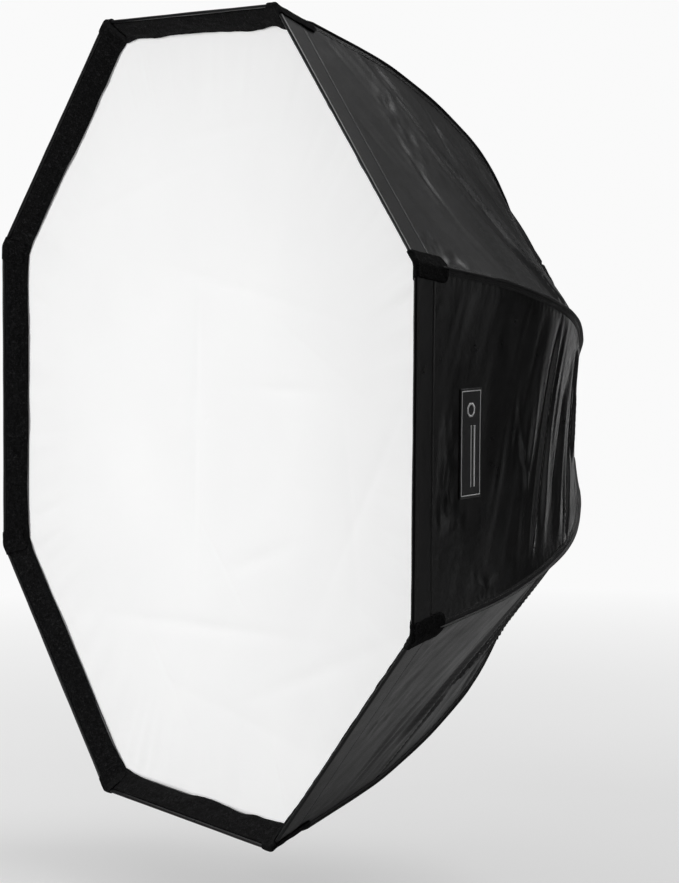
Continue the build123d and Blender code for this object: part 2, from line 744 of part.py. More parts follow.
with BuildPart() as corner_tabs:
    for angle in RIB_ANGLES:
        with BuildPart(mode=Mode.PRIVATE) as tab:
            for y, gap in TAB_ENDS:
                with BuildSketch(station(y)):
                    with BuildLine():
                        Polyline(*chevron(angle, y, gap), close=True)
                    make_face()
            loft(ruled=True)
        add(tab.part)
save(corner_tabs.part, "corner_tabs")

# --- Plain woven patch on the +X panel -------------------------------------
# The patch leans with the stretch of the corner line between rows 16 and 17
patch_y = 120.0 - DEPTH
panel_x = corner_radius(patch_y) * cos(radians(STEP / 2))
patch_back, patch_front = CORNER_LINE[16], CORNER_LINE[17]
panel_lean = atan2(patch_front[0] - patch_back[0], patch_back[1] - patch_front[1])
patch_plane = Plane(
    origin=(panel_x + 0.7, patch_y, 2.0),
    x_dir=(-sin(panel_lean), cos(panel_lean), 0),
    z_dir=(cos(panel_lean), sin(panel_lean), 0),
)
with BuildPart() as label_patch:
    with BuildSketch(patch_plane):
        RectangleRounded(44, 132, 1.0)
    extrude(amount=0.8)
save(label_patch.part, "label_patch")

# --- Elastic cuff that closes the back of the cover round the speedring ----
CUFF_PROFILE = [  # (radius, y)
    (104.2, -7.6), (98.0, -1.6), (84.2, -0.4),
    (84.2, 0.8), (98.6, -0.4), (106.0, -7.6),
]

with BuildPart() as rear_cuff:
    with BuildSketch(Plane.XY):
        with BuildLine():
            Polyline(*CUFF_PROFILE, close=True)
        make_face()
    revolve(axis=Axis.Y)
    # opening over the rotation lock
    with BuildSketch(outward_plane(LOCK_ANGLE, 80, LOCK_Y)):
        Rectangle(40, 24)
    extrude(amount=18.5, mode=Mode.SUBTRACT)
save(rear_cuff.part, "rear_cuff")
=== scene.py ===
import bpy
import json
import math
import numpy as np
from mathutils import Matrix, Vector

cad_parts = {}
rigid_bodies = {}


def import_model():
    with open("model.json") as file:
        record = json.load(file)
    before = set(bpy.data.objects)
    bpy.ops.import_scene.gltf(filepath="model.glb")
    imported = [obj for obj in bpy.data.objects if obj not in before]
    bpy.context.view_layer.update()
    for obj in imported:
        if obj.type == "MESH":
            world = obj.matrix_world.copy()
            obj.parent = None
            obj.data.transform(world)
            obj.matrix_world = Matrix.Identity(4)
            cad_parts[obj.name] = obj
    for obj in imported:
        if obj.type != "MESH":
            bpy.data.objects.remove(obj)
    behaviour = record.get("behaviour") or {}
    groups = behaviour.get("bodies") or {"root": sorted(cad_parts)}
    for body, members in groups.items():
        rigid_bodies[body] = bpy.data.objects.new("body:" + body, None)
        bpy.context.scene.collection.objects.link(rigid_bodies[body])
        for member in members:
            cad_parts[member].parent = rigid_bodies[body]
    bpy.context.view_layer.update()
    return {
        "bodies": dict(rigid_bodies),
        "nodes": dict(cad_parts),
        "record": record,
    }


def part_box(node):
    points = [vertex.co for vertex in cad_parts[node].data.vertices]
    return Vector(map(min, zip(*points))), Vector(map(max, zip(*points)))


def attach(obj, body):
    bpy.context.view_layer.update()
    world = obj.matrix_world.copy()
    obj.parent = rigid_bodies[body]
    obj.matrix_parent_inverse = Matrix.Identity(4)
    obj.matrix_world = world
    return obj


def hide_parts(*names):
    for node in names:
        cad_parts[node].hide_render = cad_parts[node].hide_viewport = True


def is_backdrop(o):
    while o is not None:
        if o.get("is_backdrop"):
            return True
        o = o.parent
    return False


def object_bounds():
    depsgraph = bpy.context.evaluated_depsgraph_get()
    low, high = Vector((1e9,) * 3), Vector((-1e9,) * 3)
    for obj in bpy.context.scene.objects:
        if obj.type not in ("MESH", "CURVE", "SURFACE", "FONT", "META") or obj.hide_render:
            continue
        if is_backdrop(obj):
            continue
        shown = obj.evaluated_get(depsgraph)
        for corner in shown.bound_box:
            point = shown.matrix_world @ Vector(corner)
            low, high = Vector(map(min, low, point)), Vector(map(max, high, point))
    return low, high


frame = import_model()
NODES = frame["nodes"]
BODIES = frame["bodies"]

# ---------------------------------------------------------------------------
# The cover's corner line, as the CAD has it: (radius, y) in metres
# ---------------------------------------------------------------------------
CORNER = np.array([
    (106, -10), (120, -19), (140, -32), (158, -44), (180, -57), (200, -68.5),
    (236, -88.5), (288, -118.5), (322, -142.5), (355, -169), (388, -201), (421, -239),
    (448, -277), (478, -321), (506, -369), (531, -416), (551, -463), (570, -512),
    (590, -563), (610, -611)], float) / 1000
ROD_INSET = np.array([(236, 15.4), (288, 13.5), (322, 11), (355, 8.5), (388, 6.5), (421, 6), (610, 6)]) / 1000
FRONT = 0.611                  # seat face to the plane of the front rim
SIDES = 8
HALF = math.pi / SIDES
HINGE = np.array((0.097, -0.032))
FOLD = math.radians(40)
COLS = 56                      # columns of cloth in each panel


def smooth(x, a=0.0, b=1.0):
    x = np.clip((np.asarray(x, float) - a) / (b - a), 0, 1)
    return x * x * (3 - 2 * x)


def hermite(points, at):
    """Curve through the points, by arc length; returns positions and tangents."""
    u = np.r_[0, np.cumsum(np.hypot(*np.diff(points, axis=0).T))]
    m = np.gradient(points, u, axis=0)
    i = np.clip(np.searchsorted(u, at, side="right") - 1, 0, len(u) - 2)
    h = (u[i + 1] - u[i])[:, None]
    x = ((at - u[i]) / (u[i + 1] - u[i]))[:, None]
    p = ((1 + 2 * x) * (1 - x) ** 2 * points[i] + x * (1 - x) ** 2 * h * m[i]
         + x * x * (3 - 2 * x) * points[i + 1] + x * x * (x - 1) * h * m[i + 1])
    d = ((6 * x * x - 6 * x) / h * points[i] + (3 * x * x - 4 * x + 1) * m[i]
         + (6 * x - 6 * x * x) / h * points[i + 1] + (3 * x * x - 2 * x) * m[i + 1])
    return p, d / np.linalg.norm(d, axis=1)[:, None]


# Behind the middle the cloth is drawn in a few millimetres toward the rods
DRAWN = np.array([(180, 0), (200, 1.0), (236, 3.0), (288, 4.5), (322, 5.0), (355, 4.5), (388, 2.5), (421, 1.0), (448, 0)]) / 1000
_u = np.r_[0, np.cumsum(np.hypot(*np.diff(CORNER, axis=0).T))]
_t = hermite(CORNER, _u)[1]
_in = np.interp(CORNER[:, 0], DRAWN[:, 0], DRAWN[:, 1])
ROD_INSET[:, 1] -= np.interp(ROD_INSET[:, 0], DRAWN[:, 0], DRAWN[:, 1])
CORNER = CORNER - np.column_stack((-_t[:, 1], _t[:, 0])) * _in[:, None]
LENGTH = float(np.hypot(*np.diff(CORNER, axis=0).T).sum())


def ridge(s, out=0.0):
    """(radius, y) on the corner line at arc length s from the back, moved outward."""
    s = np.atleast_1d(np.asarray(s, float))
    p, d = hermite(CORNER, np.clip(s, 0, LENGTH))
    return p + np.column_stack((-d[:, 1], d[:, 0])) * np.asarray(out).reshape(-1, 1)


def lattice(ix, iy, seed):
    h = (ix.astype(np.int64) * 73856093) ^ (iy.astype(np.int64) * 19349663) ^ (seed * 83492791)
    h = ((h ^ (h >> 13)) & 0xFFFFFFFF) * 1274126177 & 0x7FFFFFFF
    h = (h ^ (h >> 16)) & 0xFFFF
    return h / 32767.5 - 1


def noise(x, y, seed):
    """Smooth value noise, -1..1."""
    x, y = np.asarray(x, float), np.asarray(y, float)
    ix, iy = np.floor(x), np.floor(y)
    fx, fy = x - ix, y - iy
    fx, fy = fx * fx * (3 - 2 * fx), fy * fy * (3 - 2 * fy)
    a, b = lattice(ix, iy, seed), lattice(ix + 1, iy, seed)
    c, d = lattice(ix, iy + 1, seed), lattice(ix + 1, iy + 1, seed)
    return (a * (1 - fx) + b * fx) * (1 - fy) + (c * (1 - fx) + d * fx) * fy


# ---------------------------------------------------------------------------
# The cloth of one panel: how far it stands off the flat between two ribs
# ---------------------------------------------------------------------------
rng = np.random.default_rng(48)
LEAN = [0.62, 0.12, -0.62, 0.34, 0.62, -0.12, -0.62, -0.44]   # how far the tension folds of each panel lean
TAUT = [1.35, 1.0, 1.0, 1.15, 1.15, 1.0, 1.2, 1.0]              # how strongly its folds stand
FOLDS = []
for k in range(SIDES):
    lines = []
    for _ in range(11):                      # long tension folds from rib to rib, mostly in the rear half
        lines.append((LENGTH * rng.uniform(0.20, 0.66), LEAN[k] + rng.normal(0, 0.09), rng.uniform(-0.020, 0.030),
                      rng.uniform(-0.15, 0.30), rng.uniform(0.72, 1.15), rng.uniform(0.0035, 0.0080), rng.choice([-1, 1, 1]) * rng.uniform(0.0020, 0.0046)))
    for _ in range(5):                       # a few shorter ones nearer the front
        a = rng.uniform(-0.1, 0.6)
        lines.append((LENGTH * rng.uniform(0.62, 0.90), 0.6 * LEAN[k] + rng.normal(0, 0.22), rng.uniform(-0.015, 0.020),
                      a, a + rng.uniform(0.30, 0.55), rng.uniform(0.003, 0.006), rng.choice([-1, 1]) * rng.uniform(0.0008, 0.0018)))
    FOLDS.append(lines)


def stand_off(k, t, s):
    """Outward distance of the cloth of panel k, at share t across and arc length s."""
    t, s = np.broadcast_arrays(np.asarray(t, float), np.asarray(s, float))
    R = np.interp(s, ARC, RAD)
    W = 2 * R * math.sin(HALF)
    x = (t - 0.5) * W
    front = LENGTH - s
    edge = np.minimum(t, 1 - t) * W
    f = np.clip(4 * t * (1 - t), 0, 1)
    d = -(0.0028 + 0.0062 * np.sin(math.pi * np.clip(s / LENGTH, 0, 1)) ** 0.9) * f ** 0.85 * smooth(front, 0.0, 0.16)
    calm = 1.0
    if k == SIDES - 1:                       # the patch holds the cloth flat
        calm = 1 - 0.9 * (1 - smooth(np.abs(x - 0.002), 0.070, 0.100)) * (1 - smooth(np.abs(front - 0.127), 0.024, 0.052))
    free = smooth(edge, 0.003, 0.040) * smooth(front, 0.042, 0.10) * smooth(s, 0.03, 0.12) * calm
    rear = smooth(front, 0.22, 0.50)
    lean = LEAN[k]
    taut = TAUT[k]
    u = s - lean * x
    d = d + free * 0.0020 * noise(u / 0.10 + k, x / 0.30, 51 + k)
    d = d + free * taut * (0.0005 + 0.0021 * rear) * noise(u / 0.021 + 7 * k, x / 0.34, 11 + k)
    d = d + free * taut * (0.0003 + 0.0010 * rear) * noise(u / 0.011 + 3 * k, x / 0.22, 31 + k)
    # shallow crumples behind the front hem, in patches
    zone = smooth(front, 0.042, 0.066) * (1 - smooth(front, 0.10, 0.24)) * smooth(edge, 0.0, 0.02) * calm
    patchy = smooth(noise(x / 0.10 + 3, s / 0.09 + k, 81 + k), 0.0, 0.55)
    lay = x + 0.7 * s
    crumple = 1 - np.abs(noise(lay / 0.021 + 0.8 * noise(x / 0.03, s / 0.03, 85), (s - 0.7 * x) / 0.040, 82 + k)) * 2
    fine = 1 - np.abs(noise(lay / 0.010 + 0.6 * noise(x / 0.02, s / 0.02, 86), (s - 0.4 * x) / 0.021, 87 + k)) * 2
    d = d + zone * patchy * (taut if k != 6 else 0.35) * (0.0026 * crumple + 0.0011 * fine)
    for s0, slant, bow, a, b, sigma, height in FOLDS[k]:
        W0 = 2 * np.interp(s0, ARC, RAD) * math.sin(HALF)
        centre = s0 + slant * (t - 0.5) * W0 + bow * f
        across = (s - centre) * math.cos(math.atan(slant))
        body = smooth(t, a, a + 0.22) * (1 - smooth(t, b - 0.26, b)) * smooth(edge, 0.001, 0.025)
        w = sigma * (1 + 0.5 * np.abs(t - 0.5))
        d = d + height * taut * calm * body * (np.exp(-(across / w) ** 2) - 0.35 * np.exp(-((across - 1.9 * w) / w) ** 2)) * smooth(front, 0.044, 0.07) * smooth(s, 0.03, 0.10)
    # puckers held by the stitching along the ribs and behind the hem
    d = d + 0.00020 * np.sin(2 * math.pi * s / 0.0135 + 3 * noise(s / 0.05, t * 0 + k, 71)) \
        * np.exp(-((edge - 0.011) / 0.006) ** 2) * smooth(front, 0.04, 0.07) * smooth(s, 0.08, 0.16)
    d = d + 0.0005 * np.sin(2 * math.pi * x / 0.020 + 3 * noise(x / 0.05, t * 0 + k, 72)) \
        * np.exp(-((front - 0.051) / 0.007) ** 2) * smooth(edge, 0.005, 0.02)
    # hem: doubled cloth up to the stitch line
    d = d + 0.0005 * (1 - smooth(front, 0.038, 0.0415)) - 0.0005 * np.exp(-((front - 0.040) / 0.0016) ** 2)
    # gathers toward the speedring
    d = d + 0.0012 * (1 - smooth(s, 0.02, 0.10)) * f * np.sin(2 * math.pi * 6 * t + k)
    return d


ARC = np.linspace(0, LENGTH, 400)
_p, _d = hermite(CORNER, ARC)
RAD, WAY = _p[:, 0], _p[:, 1]
SLOPE = np.arctan2(_d[:, 0] * math.cos(HALF), -_d[:, 1])   # of a panel's middle, from the axis


def panel_point(k, t, s, out=0.0):
    """Point of the cloth of panel k (between rib k and rib k+1), plus a distance outward."""
    t, s, out = np.broadcast_arrays(np.asarray(t, float), np.asarray(s, float), np.asarray(out, float))
    R, y, a = np.interp(s, ARC, RAD), np.interp(s, ARC, WAY), np.interp(s, ARC, SLOPE)
    th = HALF * (2 * k + 1)
    mid = th + HALF
    ax = R * ((1 - t) * math.cos(th) + t * math.cos(th + 2 * HALF))
    az = R * ((1 - t) * math.sin(th) + t * math.sin(th + 2 * HALF))
    d = stand_off(k, t, s) + out
    return np.stack((ax + d * np.cos(a) * math.cos(mid), y + d * np.sin(a), az + d * np.cos(a) * math.sin(mid)), -1)


# ---------------------------------------------------------------------------
# Mesh helpers
# ---------------------------------------------------------------------------
def grid_normals(P, wrap):
    du = (np.roll(P, -1, 0) - np.roll(P, 1, 0)) if wrap else np.gradient(P, axis=0)
    dv = np.gradient(P, axis=1)
    n = np.cross(du, dv)
    return n / np.maximum(np.linalg.norm(n, axis=2), 1e-12)[..., None]


def sheet(P, wall, wrap=False, flip=False, side=1.0):
    """Closed thin shell from a grid of points: outer face on the grid, inner face a wall behind it."""
    nu, nv = P.shape[:2]
    n = grid_normals(P, wrap) * (-1 if flip else 1)
    A, B = P.reshape(-1, 3), (P - n * wall * side).reshape(-1, 3)
    ids = np.arange(nu * nv).reshape(nu, nv)
    if wrap:
        i0, i1 = ids, np.roll(ids, -1, 0)
    else:
        i0, i1 = ids[:-1], ids[1:]
    q = np.stack((i0[:, :-1], i1[:, :-1], i1[:, 1:], i0[:, 1:]), -1).reshape(-1, 4)
    if flip:
        q = q[:, ::-1]
    off = nu * nv
    faces = [q, q[:, ::-1] + off]
    kinds = [np.zeros(len(q), int), np.ones(len(q), int)]

    def rim(a, b):
        w = np.stack((b, a, a + off, b + off), -1)
        return w[:, ::-1] if flip else w
    for e0, e1 in ((i0[:, 0], i1[:, 0]), (i1[:, -1], i0[:, -1])):
        w = rim(e0, e1)
        faces.append(w); kinds.append(np.full(len(w), 2))
    if not wrap:
        for e0, e1 in ((ids[0, 1:], ids[0, :-1]), (ids[-1, :-1], ids[-1, 1:])):
            w = rim(e0, e1)
            faces.append(w); kinds.append(np.full(len(w), 2))
    return np.vstack((A, B)), np.vstack(faces), np.concatenate(kinds)


def skin(P, wrap=False, flip=False):
    """One layer of faces on a grid of points; its wall comes from thicken(), after the fold."""
    nu, nv = P.shape[:2]
    ids = np.arange(nu * nv).reshape(nu, nv)
    i0, i1 = (ids, np.roll(ids, -1, 0)) if wrap else (ids[:-1], ids[1:])
    q = np.stack((i0[:, :-1], i1[:, :-1], i1[:, 1:], i0[:, 1:]), -1).reshape(-1, 4)
    return P.reshape(-1, 3), q[:, ::-1] if flip else q


def thicken(o, wall, inside=0):
    m = o.modifiers.new("wall", "SOLIDIFY")
    m.thickness, m.offset, m.use_rim, m.use_even_offset = wall, -1.0, True, False
    m.material_offset, m.material_offset_rim = inside, 0
    return o


def tube(rings, wrap=False):
    """Closed tube from rings of points (n rings, m points, 3)."""
    n, m = rings.shape[:2]
    ids = np.arange(n * m).reshape(n, m)
    a = ids if wrap else ids[:-1]
    b = np.roll(ids, -1, 0) if wrap else ids[1:]
    q = np.stack((a, b, np.roll(b, -1, 1), np.roll(a, -1, 1)), -1).reshape(-1, 4)
    V, F = rings.reshape(-1, 3), [list(x) for x in q]
    if not wrap:
        F += [list(ids[0]), list(ids[-1][::-1])]
    return V, F


class Pile:
    """Several closed shells in one mesh."""
    def __init__(self):
        self.v, self.f, self.k, self.n = [], [], [], 0

    def add(self, V, F, kind=None):
        self.v.append(np.asarray(V, float))
        self.f += [[int(i) + self.n for i in f] for f in F]
        self.k += list(kind) if kind is not None else [0] * len(F)
        self.n += len(V)


def build(name, V, F, kinds=None, mats=(), smooth_faces=True):
    me = bpy.data.meshes.new(name)
    me.from_pydata([tuple(p) for p in np.asarray(V, float)], [], [tuple(int(i) for i in f) for f in F])
    for m in mats:
        me.materials.append(m)
    if kinds is not None and len(mats) > 1:
        me.polygons.foreach_set("material_index", np.asarray(kinds, np.int32).clip(0, len(mats) - 1))
    me.polygons.foreach_set("use_smooth", np.full(len(me.polygons), smooth_faces))
    me.validate()
    me.update()
    o = bpy.data.objects.new(name, me)
    bpy.context.scene.collection.objects.link(o)
    return o


def fix_normals(o):
    import bmesh
    bm = bmesh.new(); bm.from_mesh(o.data)
    bmesh.ops.recalc_face_normals(bm, faces=bm.faces[:])
    bm.to_mesh(o.data); bm.free()
    o.data.update()


def sharpen(o, degrees):
    o.data.set_sharp_from_angle(angle=math.radians(degrees))


# ---------------------------------------------------------------------------
# Folding: cloth rides on the speedring, and bones carry it with the ribs
# ---------------------------------------------------------------------------
rig_data = bpy.data.armatures.new("fold_rig")
rig = bpy.data.objects.new("fold_rig", rig_data)
bpy.context.scene.collection.objects.link(rig)
bpy.context.view_layer.objects.active = rig
bpy.ops.object.mode_set(mode="EDIT")
for bone in ["hub"] + [f"rib_{n}" for n in range(1, 9)]:
    b = rig_data.edit_bones.new(bone)
    b.head, b.tail, b.roll = (0, 0, 0), (0, 0.1, 0), 0.0
bpy.ops.object.mode_set(mode="OBJECT")
for n in range(1, 9):
    c = rig.pose.bones[f"rib_{n}"].constraints.new("COPY_TRANSFORMS")
    c.target = BODIES[f"rib_{n}"]
rig.parent = BODIES["speedring"]
rig.matrix_parent_inverse = Matrix.Identity(4)
rig.hide_render = True


def polar(co):
    r, a = np.hypot(co[:, 0], co[:, 2]), np.arctan2(co[:, 2], co[:, 0])
    g = (a - HALF) / (2 * HALF)
    k = np.floor(g).astype(int)
    mid = HALF + (k + 0.5) * 2 * HALF
    off = a - mid
    t = 0.5 + 0.5 * np.tan(np.clip(off, -HALF, HALF)) / math.tan(HALF)
    return r * np.cos(off) / math.cos(HALF), np.clip(t, 0, 1), k % SIDES, mid


def held(R, t):
    """Share across a panel, with the cloth next to each rib held flat by its seam."""
    W = np.maximum(2 * R * math.sin(HALF), 1e-6)
    dead = np.minimum(0.022 / W, 0.12)
    return np.clip((t - dead) / (1 - 2 * dead), 0, 1), 2 * dead * W


def pleat(co, share):
    """How the slack cloth stands out in three pleats a panel once the ribs close."""
    R, t, k, mid = polar(co)
    t, flat = held(R, t)
    y = co[:, 1]
    rel = np.column_stack((R - HINGE[0], y - HINGE[1]))
    L, ang = np.hypot(rel[:, 0], rel[:, 1]), np.arctan2(rel[:, 0], -rel[:, 1])
    Rf = np.maximum(HINGE[0] + L * np.sin(ang - FOLD), 0.03)
    W, w = 2 * R * math.sin(HALF), 2 * np.minimum(Rf, R) * math.sin(HALF)
    W, w = W - flat, np.maximum(w - flat, 0.006)
    H = 0.90 * np.sqrt(np.maximum((W / 6) ** 2 - (w / 6) ** 2, 0))
    lift = share * H * 0.5 * (1 - np.cos(6 * math.pi * t)) * smooth(R, 0.13, 0.26)
    a = np.interp(np.clip(R, RAD[0], RAD[-1]), RAD, SLOPE)
    return np.column_stack((np.cos(a) * np.cos(mid), np.sin(a), np.cos(a) * np.sin(mid))) * lift[:, None]


def follow_fold(o, mode="cover"):
    co = np.zeros(len(o.data.vertices) * 3, np.float32)
    o.data.vertices.foreach_get("co", co)
    co = co.reshape(-1, 3).astype(float)
    R, t, k, mid = polar(co)
    t, _ = held(R, t)
    w = np.zeros((len(co), 9))
    rows = np.arange(len(co))
    w[rows, 1 + k] += 1 - t
    w[rows, 1 + (k + 1) % SIDES] += t
    share = np.ones(len(co))
    if mode == "rib":                        # sewn along a rod: goes with it
        w[:] = 0
        w[rows, 1 + (k + (t > 0.5)) % SIDES] = 1
        share[:] = 0
    elif mode == "cover":
        grip = smooth(R, 0.108, 0.165)
        w[:, 1:] *= grip[:, None]
        w[:, 0] = 1 - grip
    else:                                    # a disc of cloth: its middle follows all ribs alike
        rim = float(np.max(R))
        q = np.clip(R / rim, 0, 1) ** 1.3
        w[:, 1:] = w[:, 1:] * q[:, None] + (1 - q[:, None]) / SIDES
        share = 0.94 * smooth(R / rim, 0.955, 1.0) ** 1.5
    for j, name in enumerate(["hub"] + [f"rib_{n}" for n in range(1, 9)]):
        g = o.vertex_groups.new(name=name)
        levels = np.round(w[:, j], 3)
        for level in np.unique(levels):
            if level > 0:
                g.add(np.nonzero(levels == level)[0].tolist(), float(level), "REPLACE")
    o.shape_key_add(name="open")
    key = o.shape_key_add(name="folded")
    moved = co + pleat(co, share)
    key.data.foreach_set("co", moved.astype(np.float32).ravel())
    key.value = 0.0
    drv = key.driver_add("value").driver
    drv.type = "SCRIPTED"
    v = drv.variables.new()
    v.name, v.type = "turn", "ROTATION_DIFF"
    v.targets[0].id = BODIES["speedring"]
    v.targets[1].id = BODIES["rib_1"]
    drv.expression = f"min(max(turn/{FOLD:.5f},0),1)"
    m = o.modifiers.new("fold", "ARMATURE")
    m.object = rig
    m.use_deform_preserve_volume = False
    return o


# ---------------------------------------------------------------------------
# Materials, all procedural
# ---------------------------------------------------------------------------
def material(name):
    m = bpy.data.materials.new(name)
    m.use_nodes = True
    nt = m.node_tree
    nt.nodes.clear()
    out = nt.nodes.new("ShaderNodeOutputMaterial")
    bsdf = nt.nodes.new("ShaderNodeBsdfPrincipled")
    nt.links.new(bsdf.outputs[0], out.inputs[0])
    coord = nt.nodes.new("ShaderNodeTexCoord")
    return m, nt, bsdf, coord.outputs["Object"]


def add(nt, kind, **values):
    n = nt.nodes.new(kind)
    for key, value in values.items():
        if key in n.inputs:
            n.inputs[key].default_value = value
        else:
            setattr(n, key, value)
    return n


def ramp(nt, source, stops):
    r = nt.nodes.new("ShaderNodeValToRGB")
    e = r.color_ramp.elements
    while len(e) < len(stops):
        e.new(0.5)
    for el, (pos, col) in zip(e, stops):
        el.position = pos
        el.color = (*col, 1) if len(col) == 3 else col
    nt.links.new(source, r.inputs[0])
    return r.outputs[0]


def level(nt, source, low, high, start=0.0, end=1.0):
    n = nt.nodes.new("ShaderNodeMapRange")
    n.inputs["From Min"].default_value, n.inputs["From Max"].default_value = start, end
    n.inputs["To Min"].default_value, n.inputs["To Max"].default_value = low, high
    nt.links.new(source, n.inputs["Value"])
    return n.outputs["Result"]


def texture(nt, vec, scale, detail=3.0, rough=0.5, stretch=None, distortion=0.0):
    if stretch:
        m = add(nt, "ShaderNodeMapping")
        m.inputs["Scale"].default_value = stretch
        nt.links.new(vec, m.inputs["Vector"])
        vec = m.outputs["Vector"]
    n = nt.nodes.new("ShaderNodeTexNoise")
    n.inputs["Scale"].default_value = scale
    n.inputs["Detail"].default_value = detail
    n.inputs["Roughness"].default_value = rough
    n.inputs["Distortion"].default_value = distortion
    nt.links.new(vec, n.inputs["Vector"])
    return n.outputs["Fac"]


def maths(nt, op, a, b=None):
    n = nt.nodes.new("ShaderNodeMath")
    n.operation = op
    for i, v in enumerate((a, b)):
        if v is None:
            continue
        if isinstance(v, (int, float)):
            n.inputs[i].default_value = v
        else:
            nt.links.new(v, n.inputs[i])
    return n.outputs[0]


def weave(nt, vec, pitch):
    """Plain weave height from two crossed sine bands that ride over and under each other."""
    sep = nt.nodes.new("ShaderNodeSeparateXYZ")
    nt.links.new(vec, sep.inputs[0])
    k = 2 * math.pi / pitch
    a = maths(nt, "ADD", sep.outputs["X"], maths(nt, "MULTIPLY", sep.outputs["Y"], 0.61))
    b = maths(nt, "SUBTRACT", sep.outputs["Z"], maths(nt, "MULTIPLY", sep.outputs["Y"], 0.37))
    sa = maths(nt, "SINE", maths(nt, "MULTIPLY", a, k))
    sb = maths(nt, "SINE", maths(nt, "MULTIPLY", b, k))
    return level(nt, maths(nt, "MULTIPLY", sa, sb), 0, 1, -1, 1)


def bump(nt, bsdf, pairs):
    last = None
    for height, strength, distance in pairs:
        b = nt.nodes.new("ShaderNodeBump")
        b.inputs["Strength"].default_value = strength
        b.inputs["Distance"].default_value = distance
        nt.links.new(height, b.inputs["Height"])
        if last is not None:
            nt.links.new(last, b.inputs["Normal"])
        last = b.outputs[0]
    nt.links.new(last, bsdf.inputs["Normal"])


def cloth(name, dark, light, rough, pitch, weave_bump, crinkle, sheen=0.0, spec=0.5, tint=(1, 1, 1), grain=24.0):
    m, nt, b, vec = material(name)
    big = texture(nt, vec, 5.0, 4.0, 0.55)
    fine = texture(nt, vec, grain, 6.0, 0.62, distortion=0.3)
    tone = maths(nt, "ADD", maths(nt, "MULTIPLY", big, 0.6), maths(nt, "MULTIPLY", fine, 0.4))
    nt.links.new(ramp(nt, tone, [(0.3, dark), (0.7, light)]), b.inputs["Base Color"])
    nt.links.new(level(nt, fine, rough[0], rough[1], 0.3, 0.7), b.inputs["Roughness"])
    b.inputs["Specular IOR Level"].default_value = spec
    b.inputs["Sheen Weight"].default_value = sheen
    b.inputs["Sheen Roughness"].default_value = 0.45
    b.inputs["Sheen Tint"].default_value = (*tint, 1)
    bump(nt, b, [(fine, crinkle[0], crinkle[1]), (weave(nt, vec, pitch), weave_bump, 0.0002)])
    return m, nt, b, vec


nylon, *_ = cloth("cover_nylon", (0.0030, 0.0030, 0.0033), (0.0062, 0.0062, 0.0067), (0.27, 0.38), 0.0011, 0.25, (0.32, 0.0016), sheen=0.01, spec=0.34)
lining, nt, b, vec = cloth("silver_lining", (0.42, 0.42, 0.43), (0.62, 0.62, 0.63), (0.26, 0.42), 0.0011, 0.3, (0.4, 0.0016), spec=0.6)
b.inputs["Metallic"].default_value = 0.85
# Painted glow: the outer diffuser cloth emits faint white light though nothing is lit behind it. Its strength is 0.275
# within 0.20 m of the axis and falls to 0.215 by 0.56 m, so the rim is painted a little darker, and the glow flattens
# the shade of the creases.
glowing_diffuser_white, nt, b, vec = cloth("diffusion_cloth", (0.865, 0.865, 0.865), (0.905, 0.905, 0.903), (0.75, 0.9), 0.0013, 0.18, (0.10, 0.0010), sheen=0.15, spec=0.25, grain=9.0)
b.inputs["Emission Color"].default_value = (1, 1, 1, 1)
glow_radius = nt.nodes.new("ShaderNodeVectorMath")
glow_radius.operation = "LENGTH"
flat = add(nt, "ShaderNodeMapping")
flat.inputs["Scale"].default_value = (1, 0, 1)
nt.links.new(vec, flat.inputs["Vector"])
nt.links.new(flat.outputs["Vector"], glow_radius.inputs[0])
nt.links.new(level(nt, glow_radius.outputs["Value"], 0.275, 0.215, 0.20, 0.56), b.inputs["Emission Strength"])
inner_white, *_ = cloth("baffle_cloth", (0.80, 0.80, 0.80), (0.87, 0.87, 0.86), (0.75, 0.9), 0.0013, 0.2, (0.2, 0.0012), sheen=0.15, spec=0.25)
binding, *_ = cloth("binding_tape", (0.0035, 0.0035, 0.0038), (0.0085, 0.0085, 0.009), (0.42, 0.58), 0.0016, 0.7, (0.25, 0.0008), sheen=0.03, spec=0.35)
elastic, *_ = cloth("elastic_tape", (0.006, 0.006, 0.006), (0.014, 0.014, 0.015), (0.6, 0.8), 0.0022, 0.8, (0.2, 0.0006), sheen=0.08, spec=0.3)
patch_black, *_ = cloth("patch_satin", (0.009, 0.009, 0.010), (0.014, 0.014, 0.015), (0.30, 0.40), 0.0007, 0.4, (0.1, 0.0005), spec=0.5)
patch_thread, *_ = cloth("patch_thread", (0.90, 0.90, 0.90), (0.97, 0.97, 0.97), (0.5, 0.6), 0.0009, 0.8, (0.2, 0.0004), sheen=0.1)
thread, *_ = cloth("sewing_thread", (0.008, 0.008, 0.0085), (0.017, 0.017, 0.018), (0.4, 0.55), 0.0005, 0.8, (0.2, 0.0003), sheen=0.2)

pile, nt, b, vec = material("hook_and_loop_pile")
f1 = texture(nt, vec, 250.0, 5.0, 0.75, distortion=1.2)
f2 = texture(nt, vec, 60.0, 4.0, 0.6)
v1 = nt.nodes.new("ShaderNodeTexVoronoi")
v1.inputs["Scale"].default_value = 520.0
nt.links.new(vec, v1.inputs["Vector"])
nt.links.new(ramp(nt, f1, [(0.36, (0.0014, 0.0014, 0.0015)), (0.54, (0.0070, 0.0070, 0.0073)), (0.68, (0.030, 0.030, 0.031))]), b.inputs["Base Color"])
b.inputs["Roughness"].default_value = 0.95
b.inputs["Specular IOR Level"].default_value = 0.04
b.inputs["Sheen Weight"].default_value = 0.015
b.inputs["Sheen Roughness"].default_value = 0.6
bump(nt, b, [(f2, 0.5, 0.002), (f1, 0.9, 0.0014), (v1.outputs["Distance"], 0.6, 0.0008)])


